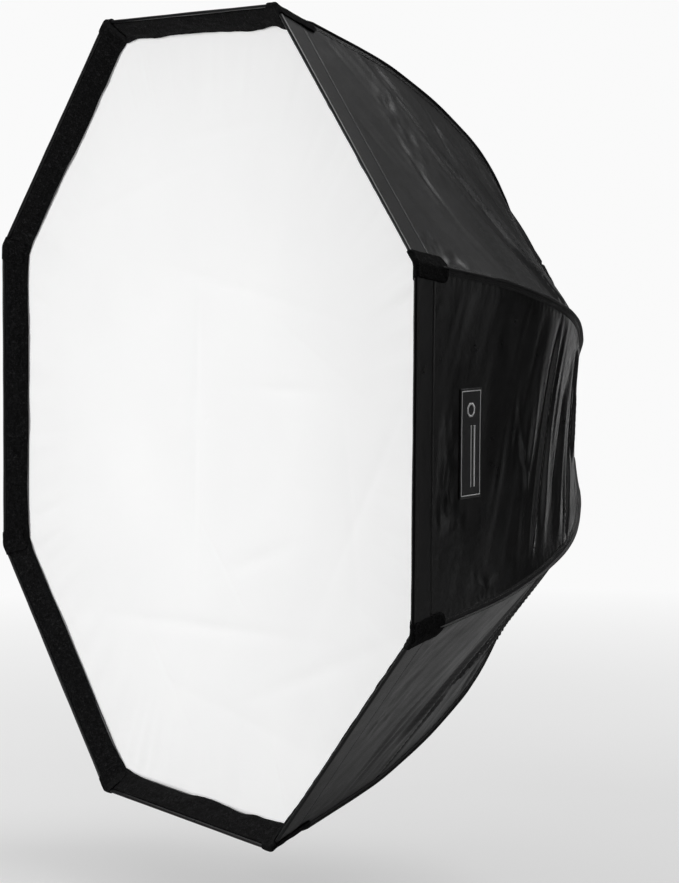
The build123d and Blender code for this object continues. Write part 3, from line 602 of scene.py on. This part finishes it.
def metal(name, dark, light, rough, metallic=1.0, brushed=None, speckle=900.0, peel=None, wear=None, coat=0.0):
    m, nt, b, vec = material(name)
    g = texture(nt, vec, 300.0, 4.0, 0.6, stretch=brushed) if brushed else texture(nt, vec, 45.0, 5.0, 0.6)
    spots = texture(nt, vec, 28.0, 5.0, 0.65)
    col = ramp(nt, maths(nt, "ADD", maths(nt, "MULTIPLY", g, 0.5), maths(nt, "MULTIPLY", spots, 0.5)), [(0.3, dark), (0.7, light)])
    if wear:
        geo = nt.nodes.new("ShaderNodeNewGeometry")
        edge = level(nt, maths(nt, "ADD", geo.outputs["Pointiness"], maths(nt, "MULTIPLY", spots, 0.06)), 0, 1, 0.545, 0.585)
        mix = nt.nodes.new("ShaderNodeMix")
        mix.data_type = "RGBA"
        nt.links.new(edge, mix.inputs[0])
        nt.links.new(col, mix.inputs[6])
        mix.inputs[7].default_value = (*wear, 1)
        col = mix.outputs[2]
    nt.links.new(col, b.inputs["Base Color"])
    nt.links.new(level(nt, spots, rough[0], rough[1], 0.3, 0.7), b.inputs["Roughness"])
    b.inputs["Metallic"].default_value = metallic
    b.inputs["Coat Weight"].default_value = coat
    p = texture(nt, vec, peel or speckle, 3.0, 0.5)
    bump(nt, b, [(p, 0.25 if peel else 0.1, 0.0003), (g, 0.12, 0.0002)])
    return m


METALS = {
    "insert_alloy": metal("insert_alloy", (0.56, 0.56, 0.57), (0.78, 0.78, 0.79), (0.24, 0.38), brushed=(1.0, 30.0, 1.0)),
    "ring_paint": metal("ring_paint", (0.010, 0.010, 0.011), (0.022, 0.022, 0.024), (0.38, 0.52), metallic=0.0, peel=1400.0, wear=(0.10, 0.10, 0.105)),
    "bright_steel": metal("bright_steel", (0.50, 0.50, 0.51), (0.68, 0.68, 0.69), (0.16, 0.28), brushed=(1.0, 18.0, 1.0)),
    "zinc_steel": metal("zinc_steel", (0.42, 0.43, 0.45), (0.62, 0.62, 0.61), (0.28, 0.46), speckle=700.0),
    "spring_steel": metal("spring_steel", (0.16, 0.16, 0.17), (0.30, 0.30, 0.31), (0.22, 0.36), brushed=(6.0, 1.0, 6.0)),
    "black_nylon": metal("black_nylon_moulding", (0.012, 0.012, 0.012), (0.024, 0.024, 0.025), (0.42, 0.58), metallic=0.0, peel=2200.0, wear=(0.05, 0.05, 0.05)),
    "white_nylon": metal("white_nylon_moulding", (0.62, 0.61, 0.57), (0.74, 0.73, 0.69), (0.35, 0.5), metallic=0.0, peel=1500.0),
    "button_red": metal("button_red", (0.36, 0.012, 0.012), (0.52, 0.022, 0.020), (0.22, 0.34), metallic=0.0, peel=1800.0, coat=0.3),
    "fibre": metal("pressed_fibre", (0.11, 0.045, 0.022), (0.20, 0.085, 0.045), (0.6, 0.8), metallic=0.0, peel=1200.0),
}
slot_of = {s["node"]: s["material_slot"] for s in frame["record"]["subparts"]}
for name, o in NODES.items():
    m = METALS.get(slot_of[name])
    if m is None:
        continue
    if not o.material_slots:
        o.data.materials.append(m)
    for s in o.material_slots:
        s.material = m

# ---------------------------------------------------------------------------
# Cover: one continuous curved sheet, black outside, silver inside
# ---------------------------------------------------------------------------
rows = np.unique(np.round(np.r_[
    np.linspace(0, LENGTH, 236), LENGTH - np.array([0.001, 0.0025, 0.005, 0.0085]),
    LENGTH - np.linspace(0.035, 0.047, 11), LENGTH - np.linspace(0.050, 0.083, 8)], 5))
share = np.linspace(0, 1, COLS, endpoint=False)
share = 0.5 - 0.5 * np.cos(math.pi * share) * 0.35 - 0.5 * (1 - 2 * share) * 0.65   # closer together by the ribs
share[0] = 0.0
P = np.concatenate([panel_point(k, share[:, None], rows[None, :]) for k in range(SIDES)])
V, F = skin(P, wrap=True)
canopy = build("canopy_cloth", V, F, None, (nylon, lining))
sharpen(canopy, 38)
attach(canopy, "speedring"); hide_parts("canopy")
follow_fold(canopy)
thicken(canopy, 0.0008, 1)

# Bound seams: a folded tape standing along each rib, with flanges sewn to the panels
pile_seams, stitches = Pile(), Pile()
S0, S1 = 0.062, LENGTH - 0.058
run = np.linspace(S0, S1, 150)


def radial(points, k, v=0.0):
    """(radius, y) pairs in the plane of rib k, with a sideways distance v, as x, y, z."""
    th = HALF * (2 * k + 1)
    r, y = points[..., 0], points[..., 1]
    return np.stack((r * math.cos(th) - v * math.sin(th), y, r * math.sin(th) + v * math.cos(th)), -1)


def stitch(p, d, n, length=0.0030, width=0.00055):
    """One raised stitch: a small lozenge along d, standing on n."""
    d = d / np.linalg.norm(d); n = n / np.linalg.norm(n); w = np.cross(n, d)
    a = p - d * length / 2; b = p + d * length / 2
    q = [a, p + w * width, b, p - w * width, p + n * width * 1.1, p - n * width * 0.4]
    return np.array(q), [(0, 1, 4), (1, 2, 4), (2, 3, 4), (3, 0, 4), (1, 0, 5), (2, 1, 5), (3, 2, 5), (0, 3, 5)]


for k in range(SIDES):
    base = ridge(run, 0.0)
    height = 0.0030 + 0.0010 * (1 - (run - S0) / (S1 - S0))
    height = height * smooth(run, S0 - 0.004, S0 + 0.012) * (1 - 0.6 * smooth(run, S1 - 0.01, S1 + 0.002)) + 0.0006
    lean = 0.0007 * noise(run / 0.06, run * 0 + k, 91) + 0.0004 * noise(run / 0.017, run * 0 + k, 92)
    section = [(-0.0008, 0.0), (-0.00095, 0.45), (-0.0008, 0.85), (-0.0004, 1.0), (0.0004, 1.0), (0.0008, 0.85), (0.00095, 0.45), (0.0008, 0.0)]
    rings = np.stack([radial(ridge(run, 0.0002 + height * h), k, v + lean * h) for v, h in section], 1)
    V, F = tube(rings)
    pile_seams.add(V, F)
    for panel, far in ((k, False), ((k - 1) % SIDES, True)):
        W = 2 * np.interp(run, ARC, RAD) * math.sin(HALF)
        lane = np.array([0.0007, 0.0022, 0.0042, 0.0064, 0.0082])
        t = lane[None, :] / W[:, None]
        t = 1 - t if far else t
        edge_wave = 0.0004 * noise(run / 0.02, run * 0 + k + 9 * far, 93)
        out = np.array([0.0009, 0.0011, 0.0010, 0.0009, 0.0004])[None, :] + edge_wave[:, None] * 0.3
        G = panel_point(panel, t, run[:, None], out)
        V, F, _ = sheet(G, 0.0007, flip=not far)
        pile_seams.add(V, F)
        step = np.arange(S0 + 0.01, S1 - 0.005, 0.0052)
        Wt = 2 * np.interp(step, ARC, RAD) * math.sin(HALF)
        tt = 0.0056 / Wt
        tt = 1 - tt if far else tt
        A = panel_point(panel, tt, step, 0.0012)
        B = panel_point(panel, tt, step + 0.001, 0.0012)
        N = panel_point(panel, tt, step, 0.0022) - A
        for a, b_, n in zip(A, B, N):
            stitches.add(*stitch(a, b_ - a, n))
# stitch line behind the front hem
for k in range(SIDES):
    W = 2 * np.interp(LENGTH - 0.040, ARC, RAD) * math.sin(HALF)
    tt = np.arange(0.022, W - 0.022, 0.0052) / W
    s = np.full_like(tt, LENGTH - 0.040)
    A, B, N = panel_point(k, tt, s, 0.0003), panel_point(k, tt + 0.002, s, 0.0003), panel_point(k, tt, s, 0.0013)
    for a, b_, n in zip(A, B, N - A):
        stitches.add(*stitch(a, b_ - a, n, 0.0030, 0.0005))
seams = build("seam_binding_tapes", np.vstack(pile_seams.v), pile_seams.f, None, (binding,))
fix_normals(seams); sharpen(seams, 50)
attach(seams, "speedring"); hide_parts("seam_bindings")
follow_fold(seams)
sewing = build("cover_stitching", np.vstack(stitches.v), stitches.f, None, (thread,), smooth_faces=False)
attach(sewing, "speedring")
follow_fold(sewing)


# ---------------------------------------------------------------------------
# Front edge: rolled hem, hook tape, loop border, corner tabs
# ---------------------------------------------------------------------------
def octagon(t_all, R, corner=0.004):
    """Points round the unit octagon, straight from corner to corner. R is not used."""
    pts = []
    for k in range(SIDES):
        th = HALF * (2 * k + 1)
        ax = (1 - t_all) * math.cos(th) + t_all * math.cos(th + 2 * HALF)
        az = (1 - t_all) * math.sin(th) + t_all * math.sin(th + 2 * HALF)
        pts.append(np.column_stack((ax, az)))
    return np.concatenate(pts)


T = share
ring = octagon(T, 1.0)
lap = np.arange(len(ring))
kk = lap // COLS
tt = np.tile(T, SIDES)
edge_dist = np.minimum(tt, 1 - tt) * 0.467

theta = np.linspace(0, 2 * math.pi, 12, endpoint=False)
hem_r, hem_y = 0.6087, 0.0002 - FRONT
hem_rad = 0.0026 * (1 + 0.10 * noise(lap / 9.0, lap * 0, 101) + 0.05 * noise(lap / 3.1, lap * 0, 102))
rings = np.stack([np.column_stack((ring[:, 0] * (hem_r + hem_rad * np.cos(a)), hem_y + hem_rad * 1.15 * np.sin(a) + 0 * lap, ring[:, 1] * (hem_r + hem_rad * np.cos(a)))) for a in theta], 1)
V, F = tube(rings, wrap=True)
hem = build("front_hem", V, F, None, (nylon,))
fix_normals(hem); sharpen(hem, 60)
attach(hem, "speedring")
follow_fold(hem)


def band(name, r0, r1, y0, y1, wall, seed, wave, mat, node, rows_n=16):
    v = np.linspace(0, 1, rows_n)
    wob = wave * (noise(lap / 10.0, lap * 0 + 1, seed) + 0.5 * noise(lap / 4.0, lap * 0 + 2, seed))
    wob = wob * smooth(edge_dist, 0.0, 0.05)
    # the inner edge runs a little wide at the corners, which rounds them
    wob = wob + 0.0050 * np.exp(-(edge_dist / 0.022) ** 2)
    R = r0 + (r1 - r0) * v[None, :] - wob[:, None] * v[None, :] ** 2
    Y = y0 + (y1 - y0) * v[None, :] + wob[:, None] * 0.15 * v[None, :]
    lump = 0.0009 * noise(lap[:, None] / 2.2, v[None, :] * 6, seed + 1) + 0.0006 * noise(lap[:, None] / 1.1, v[None, :] * 13, seed + 2)
    lump = lump * smooth(v, 0.02, 0.2)[None, :] + 0.0012 * np.sin(math.pi * v)[None, :]
    R = R - lump * 0.7
    Y = Y - lump * 0.7
    G = np.stack((ring[:, 0][:, None] * R, Y, ring[:, 1][:, None] * R), -1)
    V, F = skin(G, wrap=True)
    o = build(name, V, F, None, (mat,))
    sharpen(o, 50)
    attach(o, "speedring"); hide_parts(node)
    return o


hook = band("rim_hook_tape_cloth", 0.6065, 0.5870, 0.0015 - FRONT, 0.0230 - FRONT, 0.0010, 111, 0.0, pile, "rim_hook_tape")
follow_fold(hook)
thicken(hook, 0.0010)
border = band("diffuser_border_tape", 0.6045, 0.5808, 0.0008 - FRONT, 0.0268 - FRONT, 0.0012, 121, 0.0034, pile, "diffuser_border")
follow_fold(border)
thicken(border, 0.0012)

# Corner tabs: straps folded over each corner, outside to inside
tabs, tab_seams = Pile(), Pile()
for k in range(SIDES):
    outer = ridge(LENGTH - np.linspace(0.069, 0.004, 26), 0.0016)
    nose_c = np.array((0.6082, 0.0004 - FRONT))
    ang = np.linspace(math.radians(20), math.radians(-150), 9)
    nose = np.column_stack((nose_c[0] + 0.0052 * np.cos(ang), nose_c[1] + 0.0046 * np.sin(ang)))
    inner = np.column_stack((np.linspace(0.6000, 0.5810, 12), np.linspace(0.0012 - FRONT, 0.0210 - FRONT, 12)))
    path = np.vstack((outer, nose, inner))
    seg = np.r_[0, np.cumsum(np.hypot(*np.diff(path, axis=0).T))]
    q = np.linspace(0, seg[-1], 46)
    path = np.column_stack((np.interp(q, seg, path[:, 0]), np.interp(q, seg, path[:, 1])))
    sm = path.copy()
    for _ in range(2):
        sm[1:-1] = (sm[:-2] + 2 * sm[1:-1] + sm[2:]) / 4
    path = sm
    lanes = np.linspace(-1, 1, 21)
    half = 0.0195 * np.ones(len(q))
    half *= np.sqrt(np.clip(1 - np.clip(1 - q / 0.010, 0, 1) ** 2 * 0.75, 0, 1))            # rounded outer end
    half *= np.sqrt(np.clip(1 - np.clip(1 - (q[-1] - q) / 0.008, 0, 1) ** 2 * 0.6, 0, 1))
    half *= 1 + 0.02 * noise(q / 0.006, q * 0 + k, 131)
    G = np.zeros((len(q), len(lanes), 3))
    th = HALF * (2 * k + 1)
    for j, lane in enumerate(lanes):
        v = lane * half
        soft = np.sqrt(v ** 2 + 0.0022 ** 2) - 0.0022
        r = path[:, 0] - soft * math.sin(HALF)
        side = v * math.cos(HALF)
        lift = 0.0005 * noise(q / 0.007, q * 0 + j / 2.5, 140 + k)
        G[:, j] = radial(np.column_stack((r + lift, path[:, 1])), k, side)
    V, F = skin(G, flip=True)
    tabs.add(V, F)
tab_cloth = build("corner_tab_straps", np.vstack(tabs.v), tabs.f, None, (pile,))
sharpen(tab_cloth, 60)
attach(tab_cloth, "speedring"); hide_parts("corner_tabs")
follow_fold(tab_cloth)
thicken(tab_cloth, 0.0017)


# ---------------------------------------------------------------------------
# Diffusers
# ---------------------------------------------------------------------------
def disc(name, R, y, wall, sag, crease, seed, mat, node, rings_n=58, forward=-1):
    rho = np.linspace(0.0, 1, rings_n) ** 0.9
    rho[0] = 0.006
    X = ring[:, 0][:, None] * rho[None, :] * R
    Z = ring[:, 1][:, None] * rho[None, :] * R
    d = sag * (1 - np.hypot(X, Z) ** 2 / R ** 2)
    d = d + crease * 0.8 * noise(X / 0.16, Z / 0.16, seed) * smooth(1 - rho, 0, 0.15)[None, :]
    d = d + crease * 0.35 * noise(X / 0.055 + 5, Z / 0.07, seed + 1) * smooth(1 - rho, 0, 0.1)[None, :]
    g = np.random.default_rng(seed)
    for _ in range(14):                        # faint packing creases
        a, off = g.uniform(0, math.pi), g.uniform(-0.42, 0.42)
        u = X * math.cos(a) + Z * math.sin(a) - off
        w = -X * math.sin(a) + Z * math.cos(a)
        c0, ln = g.uniform(-0.3, 0.3), g.uniform(0.08, 0.26)
        d = d + crease * g.uniform(0.5, 1.2) * np.exp(-(u / 0.009) ** 2) * np.exp(-((w - c0) / ln) ** 2) * smooth(1 - rho, 0, 0.06)[None, :]
    # pull lines from the edge
    a = np.arctan2(Z, X)
    d = d + crease * 0.9 * noise(a * 34, rho[None, :] * 2.5, seed + 4) * smooth(rho, 0.72, 0.98)[None, :] * smooth(1 - rho, 0.0, 0.03)[None, :]
    G = np.stack((X, y + d, Z), -1)
    V, F = skin(G, wrap=True, flip=True)
    F = [list(f) for f in F]
    V = np.vstack((V, [[0, y + sag, 0]]))
    for i in range(len(ring)):
        F.append([i * rings_n, ((i + 1) % len(ring)) * rings_n, len(V) - 1])
    o = build(name, V, F, None, (mat,))
    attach(o, "speedring"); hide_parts(node)
    return o


# The outer cloth takes the painted glow of its material, brighter in the middle than at the rim.
front_cloth = disc("outer_diffuser_cloth", 0.5830, 0.0292 - FRONT, 0.0006, 0.006, 0.0021, 201, glowing_diffuser_white, "outer_diffuser", rings_n=84)
follow_fold(front_cloth, "disc")
thicken(front_cloth, 0.0006)
baffle = disc("inner_diffuser_cloth", 0.424, -0.3015, 0.0006, 0.006, 0.0013, 211, inner_white, "inner_diffuser", rings_n=44)
follow_fold(baffle, "disc")
thicken(baffle, 0.0006)

# Inner diffuser straps: elastic with a small toggle
straps = Pile()
for k in range(SIDES):
    x = np.linspace(0.4195, 0.4485, 14)
    z = -0.3015 + 0.0010 * np.sin(np.linspace(0, math.pi, 14))
    lanes = np.linspace(-0.006, 0.006, 7)
    G = np.stack([radial(np.column_stack((x, z)), k, v) for v in lanes], 1)
    V, F, _ = sheet(G, 0.0012)
    straps.add(V, F)
    ringsn = []
    for a in np.linspace(0, 1, 9):
        rr = 0.0022 * math.sqrt(max(1 - (2 * a - 1) ** 4, 0.02))
        th_ = np.linspace(0, 2 * math.pi, 10, endpoint=False)
        pts = np.column_stack((0.4205 + rr * np.cos(th_), -0.3035 + rr * np.sin(th_)))
        ringsn.append(radial(pts, k, -0.008 + 0.016 * a))
    V, F = tube(np.array(ringsn))
    straps.add(V, F)
strap = build("inner_diffuser_straps", np.vstack(straps.v), straps.f, None, (elastic,))
fix_normals(strap); sharpen(strap, 50)
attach(strap, "speedring"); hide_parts("baffle_straps")
follow_fold(strap)

# Rod pockets: tapes inside each seam
pockets = Pile()
prun = np.linspace(0.26, LENGTH - 0.055, 90)
for k in range(SIDES):
    deep = -0.0046 - np.interp(np.interp(prun, ARC, RAD), ROD_INSET[:, 0], ROD_INSET[:, 1])
    lanes = np.linspace(-1, 1, 9)
    G = np.stack([radial(ridge(prun, deep + 0.0010 * (lane ** 2)), k, lane * 0.006) for lane in lanes], 1)
    V, F, _ = sheet(G, 0.0007)
    pockets.add(V, F)
pocket = build("rib_pocket_tapes", np.vstack(pockets.v), pockets.f, None, (binding,))
fix_normals(pocket); sharpen(pocket, 50)
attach(pocket, "speedring"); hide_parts("rib_pockets")
follow_fold(pocket, "rib")

# ---------------------------------------------------------------------------
# Plain woven patch on the +X panel
# ---------------------------------------------------------------------------
lo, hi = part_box("label_patch")
pk = SIDES - 1                                # panel between ribs 8 and 1
s_of = lambda y: float(np.interp(-y, -WAY, ARC))
sa, sb = s_of(hi.y + 0.0032), s_of(lo.y - 0.0032)


def patch(x0, x1, z0, z1, out, wall, nx, nz, mat, name):
    s = np.linspace(sa + (sb - sa) * x0, sa + (sb - sa) * x1, nx)
    z = np.linspace(-1, 1, 2) * ((hi.z - lo.z) * 0.53) + (hi.z + lo.z) / 2
    z = np.linspace(z[0] + (z[1] - z[0]) * z0, z[0] + (z[1] - z[0]) * z1, nz)
    W = 2 * np.interp(s, ARC, RAD) * math.sin(HALF)
    t = 0.5 + z[None, :] / W[:, None]
    G = panel_point(pk, t, s[:, None] + 0 * z[None, :], out)
    return skin(G, flip=True)


pp = Pile()
pp.add(*patch(0, 1, 0, 1, 0.0016, 0.0012, 22, 60, None, ""))
label = build("woven_patch", np.vstack(pp.v), pp.f, None, (patch_black,))
sharpen(label, 50)
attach(label, "speedring"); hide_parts("label_patch")
follow_fold(label)
thicken(label, 0.0010)
pp = Pile()
e = 0.055
w = 0.022
for x0, x1, z0, z1, nx, nz in ((0.30, 0.36, 0.10, 0.66, 3, 40), (0.47, 0.50, 0.10, 0.66, 3, 40), (e, 1 - e, 0.022, 0.030, 20, 3), (e, 1 - e, 0.970, 0.978, 20, 3), (e, e + w, 0.030, 0.970, 3, 60), (1 - e - w, 1 - e, 0.030, 0.970, 3, 60)):
    pp.add(*patch(x0, x1, z0, z1, 0.0020, 0.0004, nx, nz, None, ""))
mark = []
for q in range(8):
    for rr in (0.0068, 0.0098):
        aa = math.pi / 8 + q * math.pi / 4
        mark.append((rr * math.cos(aa), rr * math.sin(aa)))
for q in range(8):
    a0, a1 = math.pi / 8 + q * math.pi / 4, math.pi / 8 + (q + 1) * math.pi / 4
    G = np.zeros((2, 5, 3))
    for i, rr in enumerate((0.0068, 0.0098)):
        for j in range(5):
            px = rr * (math.cos(a0) + (math.cos(a1) - math.cos(a0)) * j / 4)
            pz = rr * (math.sin(a0) + (math.sin(a1) - math.sin(a0)) * j / 4)
            sc = sa + (sb - sa) * 0.5 + px
            zc = lo.z + (hi.z - lo.z) * 0.82 + pz
            G[i, j] = panel_point(pk, 0.5 + zc / (2 * float(np.interp(sc, ARC, RAD)) * math.sin(HALF)), sc, 0.0020)
    pp.add(*skin(G, flip=True))
trim = build("woven_patch_border", np.vstack(pp.v), pp.f, None, (patch_thread,))
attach(trim, "speedring")
follow_fold(trim)
thicken(trim, 0.0004)

# ---------------------------------------------------------------------------
# Elastic cuff at the back
# ---------------------------------------------------------------------------
prof = np.array([(0.1062, -0.0108), (0.1068, -0.0088), (0.1052, -0.0066), (0.1020, -0.0036), (0.0985, -0.0012), (0.0940, -0.0003), (0.0895, 0.0001), (0.0862, 0.0004), (0.0848, 0.0000)])
around = np.linspace(0, 2 * math.pi, 480, endpoint=False)
lock = math.radians(45)
gap = math.asin(0.0145 / 0.094)
cut = (around > lock - gap) & (around < lock + gap)
start = int(np.nonzero(cut)[0].max()) + 1
order = np.roll(np.arange(480), -start)
order = order[~cut[order]]
a = around[order]
ruck = np.sin(a * 62 + 1.3 * np.sin(a * 7)) * 0.5 + 0.5 * np.sin(a * 97 + 2)
v = np.linspace(0, 1, 26)
pr = np.column_stack((np.interp(v, np.linspace(0, 1, len(prof)), prof[:, 0]), np.interp(v, np.linspace(0, 1, len(prof)), prof[:, 1])))
amp = 0.0009 * np.sin(math.pi * np.clip(v * 1.02, 0, 1)) ** 0.7
G = np.stack((np.cos(a)[:, None] * pr[None, :, 0], pr[None, :, 1] + ruck[:, None] * amp[None, :], np.sin(a)[:, None] * pr[None, :, 0]), -1)
V, F, _ = sheet(G, 0.0010, flip=True)
cuffs = Pile(); cuffs.add(V, F)
# drawcord in the inner edge
cr = np.linspace(0, 2 * math.pi, 10, endpoint=False)
rings = np.stack([np.column_stack((np.cos(a) * (0.0858 + 0.0014 * math.cos(q)), 0.0000 + 0.0014 * math.sin(q) + 0 * a, np.sin(a) * (0.0858 + 0.0014 * math.cos(q)))) for q in cr], 1)
V, F = tube(rings)
cuffs.add(V, F)
cuff = build("rear_elastic_cuff", np.vstack(cuffs.v), cuffs.f, None, (elastic,))
fix_normals(cuff); sharpen(cuff, 55)
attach(cuff, "speedring"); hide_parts("rear_cuff")

# ---------------------------------------------------------------------------
# Return springs of the two release buttons: coils that close as a button is pressed
# ---------------------------------------------------------------------------
def coil(angle, height):
    e = np.array((math.cos(angle), 0, math.sin(angle)))
    s1 = np.array((0.0, -1.0, 0.0))
    s2 = np.cross(e, s1)
    u = np.linspace(0, 1, 112)[:, None]
    ph = 2 * math.pi * 2.48 * u
    line = e * (0.0817 + height * u) + np.array((0, -0.07359, 0)) + 0.0043 * (np.cos(ph) * s1 + np.sin(ph) * s2)
    out = np.cos(ph) * s1 + np.sin(ph) * s2
    q = np.linspace(0, 2 * math.pi, 9)[:-1]
    return np.stack([line + 0.00035 * (math.cos(a) * out + math.sin(a) * e) for a in q], 1)


coils, pressed = Pile(), []
for n, angle in enumerate((math.radians(135), math.radians(315)), 1):
    V, F = tube(coil(angle, 0.0031))
    pressed.append((coils.n, tube(coil(angle, 0.0011))[0]))
    coils.add(V, F)
springs = build("button_return_springs", np.vstack(coils.v), coils.f, None, (METALS["spring_steel"],))
fix_normals(springs)
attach(springs, "runner"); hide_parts("button_springs")
springs.shape_key_add(name="free")
for n, (start, V) in enumerate(pressed, 1):
    key = springs.shape_key_add(name=f"pressed_{n}")
    co = np.vstack(coils.v)
    co[start:start + len(V)] = V
    key.data.foreach_set("co", co.astype(np.float32).ravel())
    key.value = 0.0
    drv = key.driver_add("value").driver
    drv.type = "SCRIPTED"
    v = drv.variables.new()
    v.name, v.type = "push", "LOC_DIFF"
    v.targets[0].id = BODIES["runner"]
    v.targets[1].id = BODIES[f"button_{n}"]
    drv.expression = "min(max(push/0.002,0),1)"

# ---------------------------------------------------------------------------
# Floor, light, camera
# ---------------------------------------------------------------------------
BACKDROP = 0.955
fm, nt, b, vec = material("pale_floor")
nt.links.new(ramp(nt, texture(nt, vec, 1.5, 3.0, 0.5), [(0.3, (0.80, 0.80, 0.80)), (0.7, (0.83, 0.83, 0.83))]), b.inputs["Base Color"])
b.inputs["Roughness"].default_value = 0.9
b.inputs["Specular IOR Level"].default_value = 0.1
glow = nt.nodes.new("ShaderNodeEmission")
glow.inputs[0].default_value, glow.inputs[1].default_value = (1, 1, 1, 1), BACKDROP
reach = nt.nodes.new("ShaderNodeVectorMath")
reach.operation = "LENGTH"
nt.links.new(vec, reach.inputs[0])
far = level(nt, reach.outputs["Value"], 0.45, 1.0, 0.9, 3.2)
eye = nt.nodes.new("ShaderNodeLightPath")
nt.links.new(maths(nt, "MULTIPLY", eye.outputs["Is Camera Ray"], BACKDROP), glow.inputs[1])
blendn = nt.nodes.new("ShaderNodeMixShader")
nt.links.new(far, blendn.inputs[0])
nt.links.new(b.outputs[0], blendn.inputs[1])
nt.links.new(glow.outputs[0], blendn.inputs[2])
nt.links.new(blendn.outputs[0], [n for n in nt.nodes if n.type == "OUTPUT_MATERIAL"][0].inputs[0])
floor_z = -0.70
me = bpy.data.meshes.new("floor")
me.from_pydata([(-60, -60, floor_z), (60, -60, floor_z), (60, 60, floor_z), (-60, 60, floor_z)], [], [(0, 1, 2, 3)])
me.materials.append(fm)
floor = bpy.data.objects.new("floor", me)
bpy.context.scene.collection.objects.link(floor)
floor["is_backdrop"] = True

world = bpy.data.worlds.new("studio")
bpy.context.scene.world = world
world.use_nodes = True
wn = world.node_tree
wn.nodes.clear()
wo = wn.nodes.new("ShaderNodeOutputWorld")
mixs = wn.nodes.new("ShaderNodeMixShader")
path = wn.nodes.new("ShaderNodeLightPath")
seen, fill = wn.nodes.new("ShaderNodeBackground"), wn.nodes.new("ShaderNodeBackground")
seen.inputs[0].default_value, seen.inputs[1].default_value = (1, 1, 1, 1), BACKDROP
fill.inputs[0].default_value = (1, 1, 1, 1)
wc, wsep, wmap = wn.nodes.new("ShaderNodeTexCoord"), wn.nodes.new("ShaderNodeSeparateXYZ"), wn.nodes.new("ShaderNodeMapRange")
wn.links.new(wc.outputs["Generated"], wsep.inputs[0])
wn.links.new(wsep.outputs["Z"], wmap.inputs["Value"])
wmap.interpolation_type = "SMOOTHSTEP"
wmap.inputs["From Min"].default_value, wmap.inputs["From Max"].default_value = 0.10, 0.75
wmap.inputs["To Min"].default_value, wmap.inputs["To Max"].default_value = 0.03, 0.34
wn.links.new(wmap.outputs["Result"], fill.inputs[1])
wn.links.new(path.outputs["Is Camera Ray"], mixs.inputs[0])
wn.links.new(fill.outputs[0], mixs.inputs[1])
wn.links.new(seen.outputs[0], mixs.inputs[2])
wn.links.new(mixs.outputs[0], wo.inputs[0])


def area(name, at, to, size, power, shape="RECTANGLE", size_y=None):
    l = bpy.data.lights.new(name, "AREA")
    l.energy, l.size, l.shape = power, size, shape
    if size_y:
        l.size_y = size_y
    o = bpy.data.objects.new(name, l)
    o.location = at
    o.rotation_mode = "QUATERNION"
    o.rotation_quaternion = (Vector(to) - Vector(at)).to_track_quat("-Z", "Y")
    bpy.context.scene.collection.objects.link(o)
    return o


centre = Vector((0, -0.35, 0))
area("key_front", (-0.9, -4.2, 0.5), centre, 2.6, 104, size_y=2.6)
area("top", (0.4, 1.2, 3.2), centre, 1.9, 58, size_y=1.6)
area("strip_side", (2.4, 3.7, 0.4), centre, 0.5, 7, size_y=2.2)
area("strip_back", (-1.7, 4.0, 0.2), centre, 0.5, 7, size_y=2.4)

cam_data = bpy.data.cameras.new("camera")
cam = bpy.data.objects.new("camera", cam_data)
bpy.context.scene.collection.objects.link(cam)
az, el, roll = math.radians(56.830), math.radians(4.801), math.radians(0.3965)
back = Vector((math.sin(az) * math.cos(el), -math.cos(az) * math.cos(el), math.sin(el)))
fwd = -back
right = fwd.cross(Vector((0, 0, 1))).normalized()
up = right.cross(fwd)
r2 = right * math.cos(roll) + up * math.sin(roll)
u2 = -right * math.sin(roll) + up * math.cos(roll)
cam.matrix_world = Matrix(((r2.x, u2.x, back.x, 3.4356), (r2.y, u2.y, back.y, -2.5992), (r2.z, u2.z, back.z, 0.3051), (0, 0, 0, 1)))
cam_data.sensor_width = 36
cam_data.lens = 2847.4 / 883 * 36
cam_data.clip_end = 200
bpy.context.scene.camera = cam
bpy.context.scene.view_settings.view_transform = "Standard"

lo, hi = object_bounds()
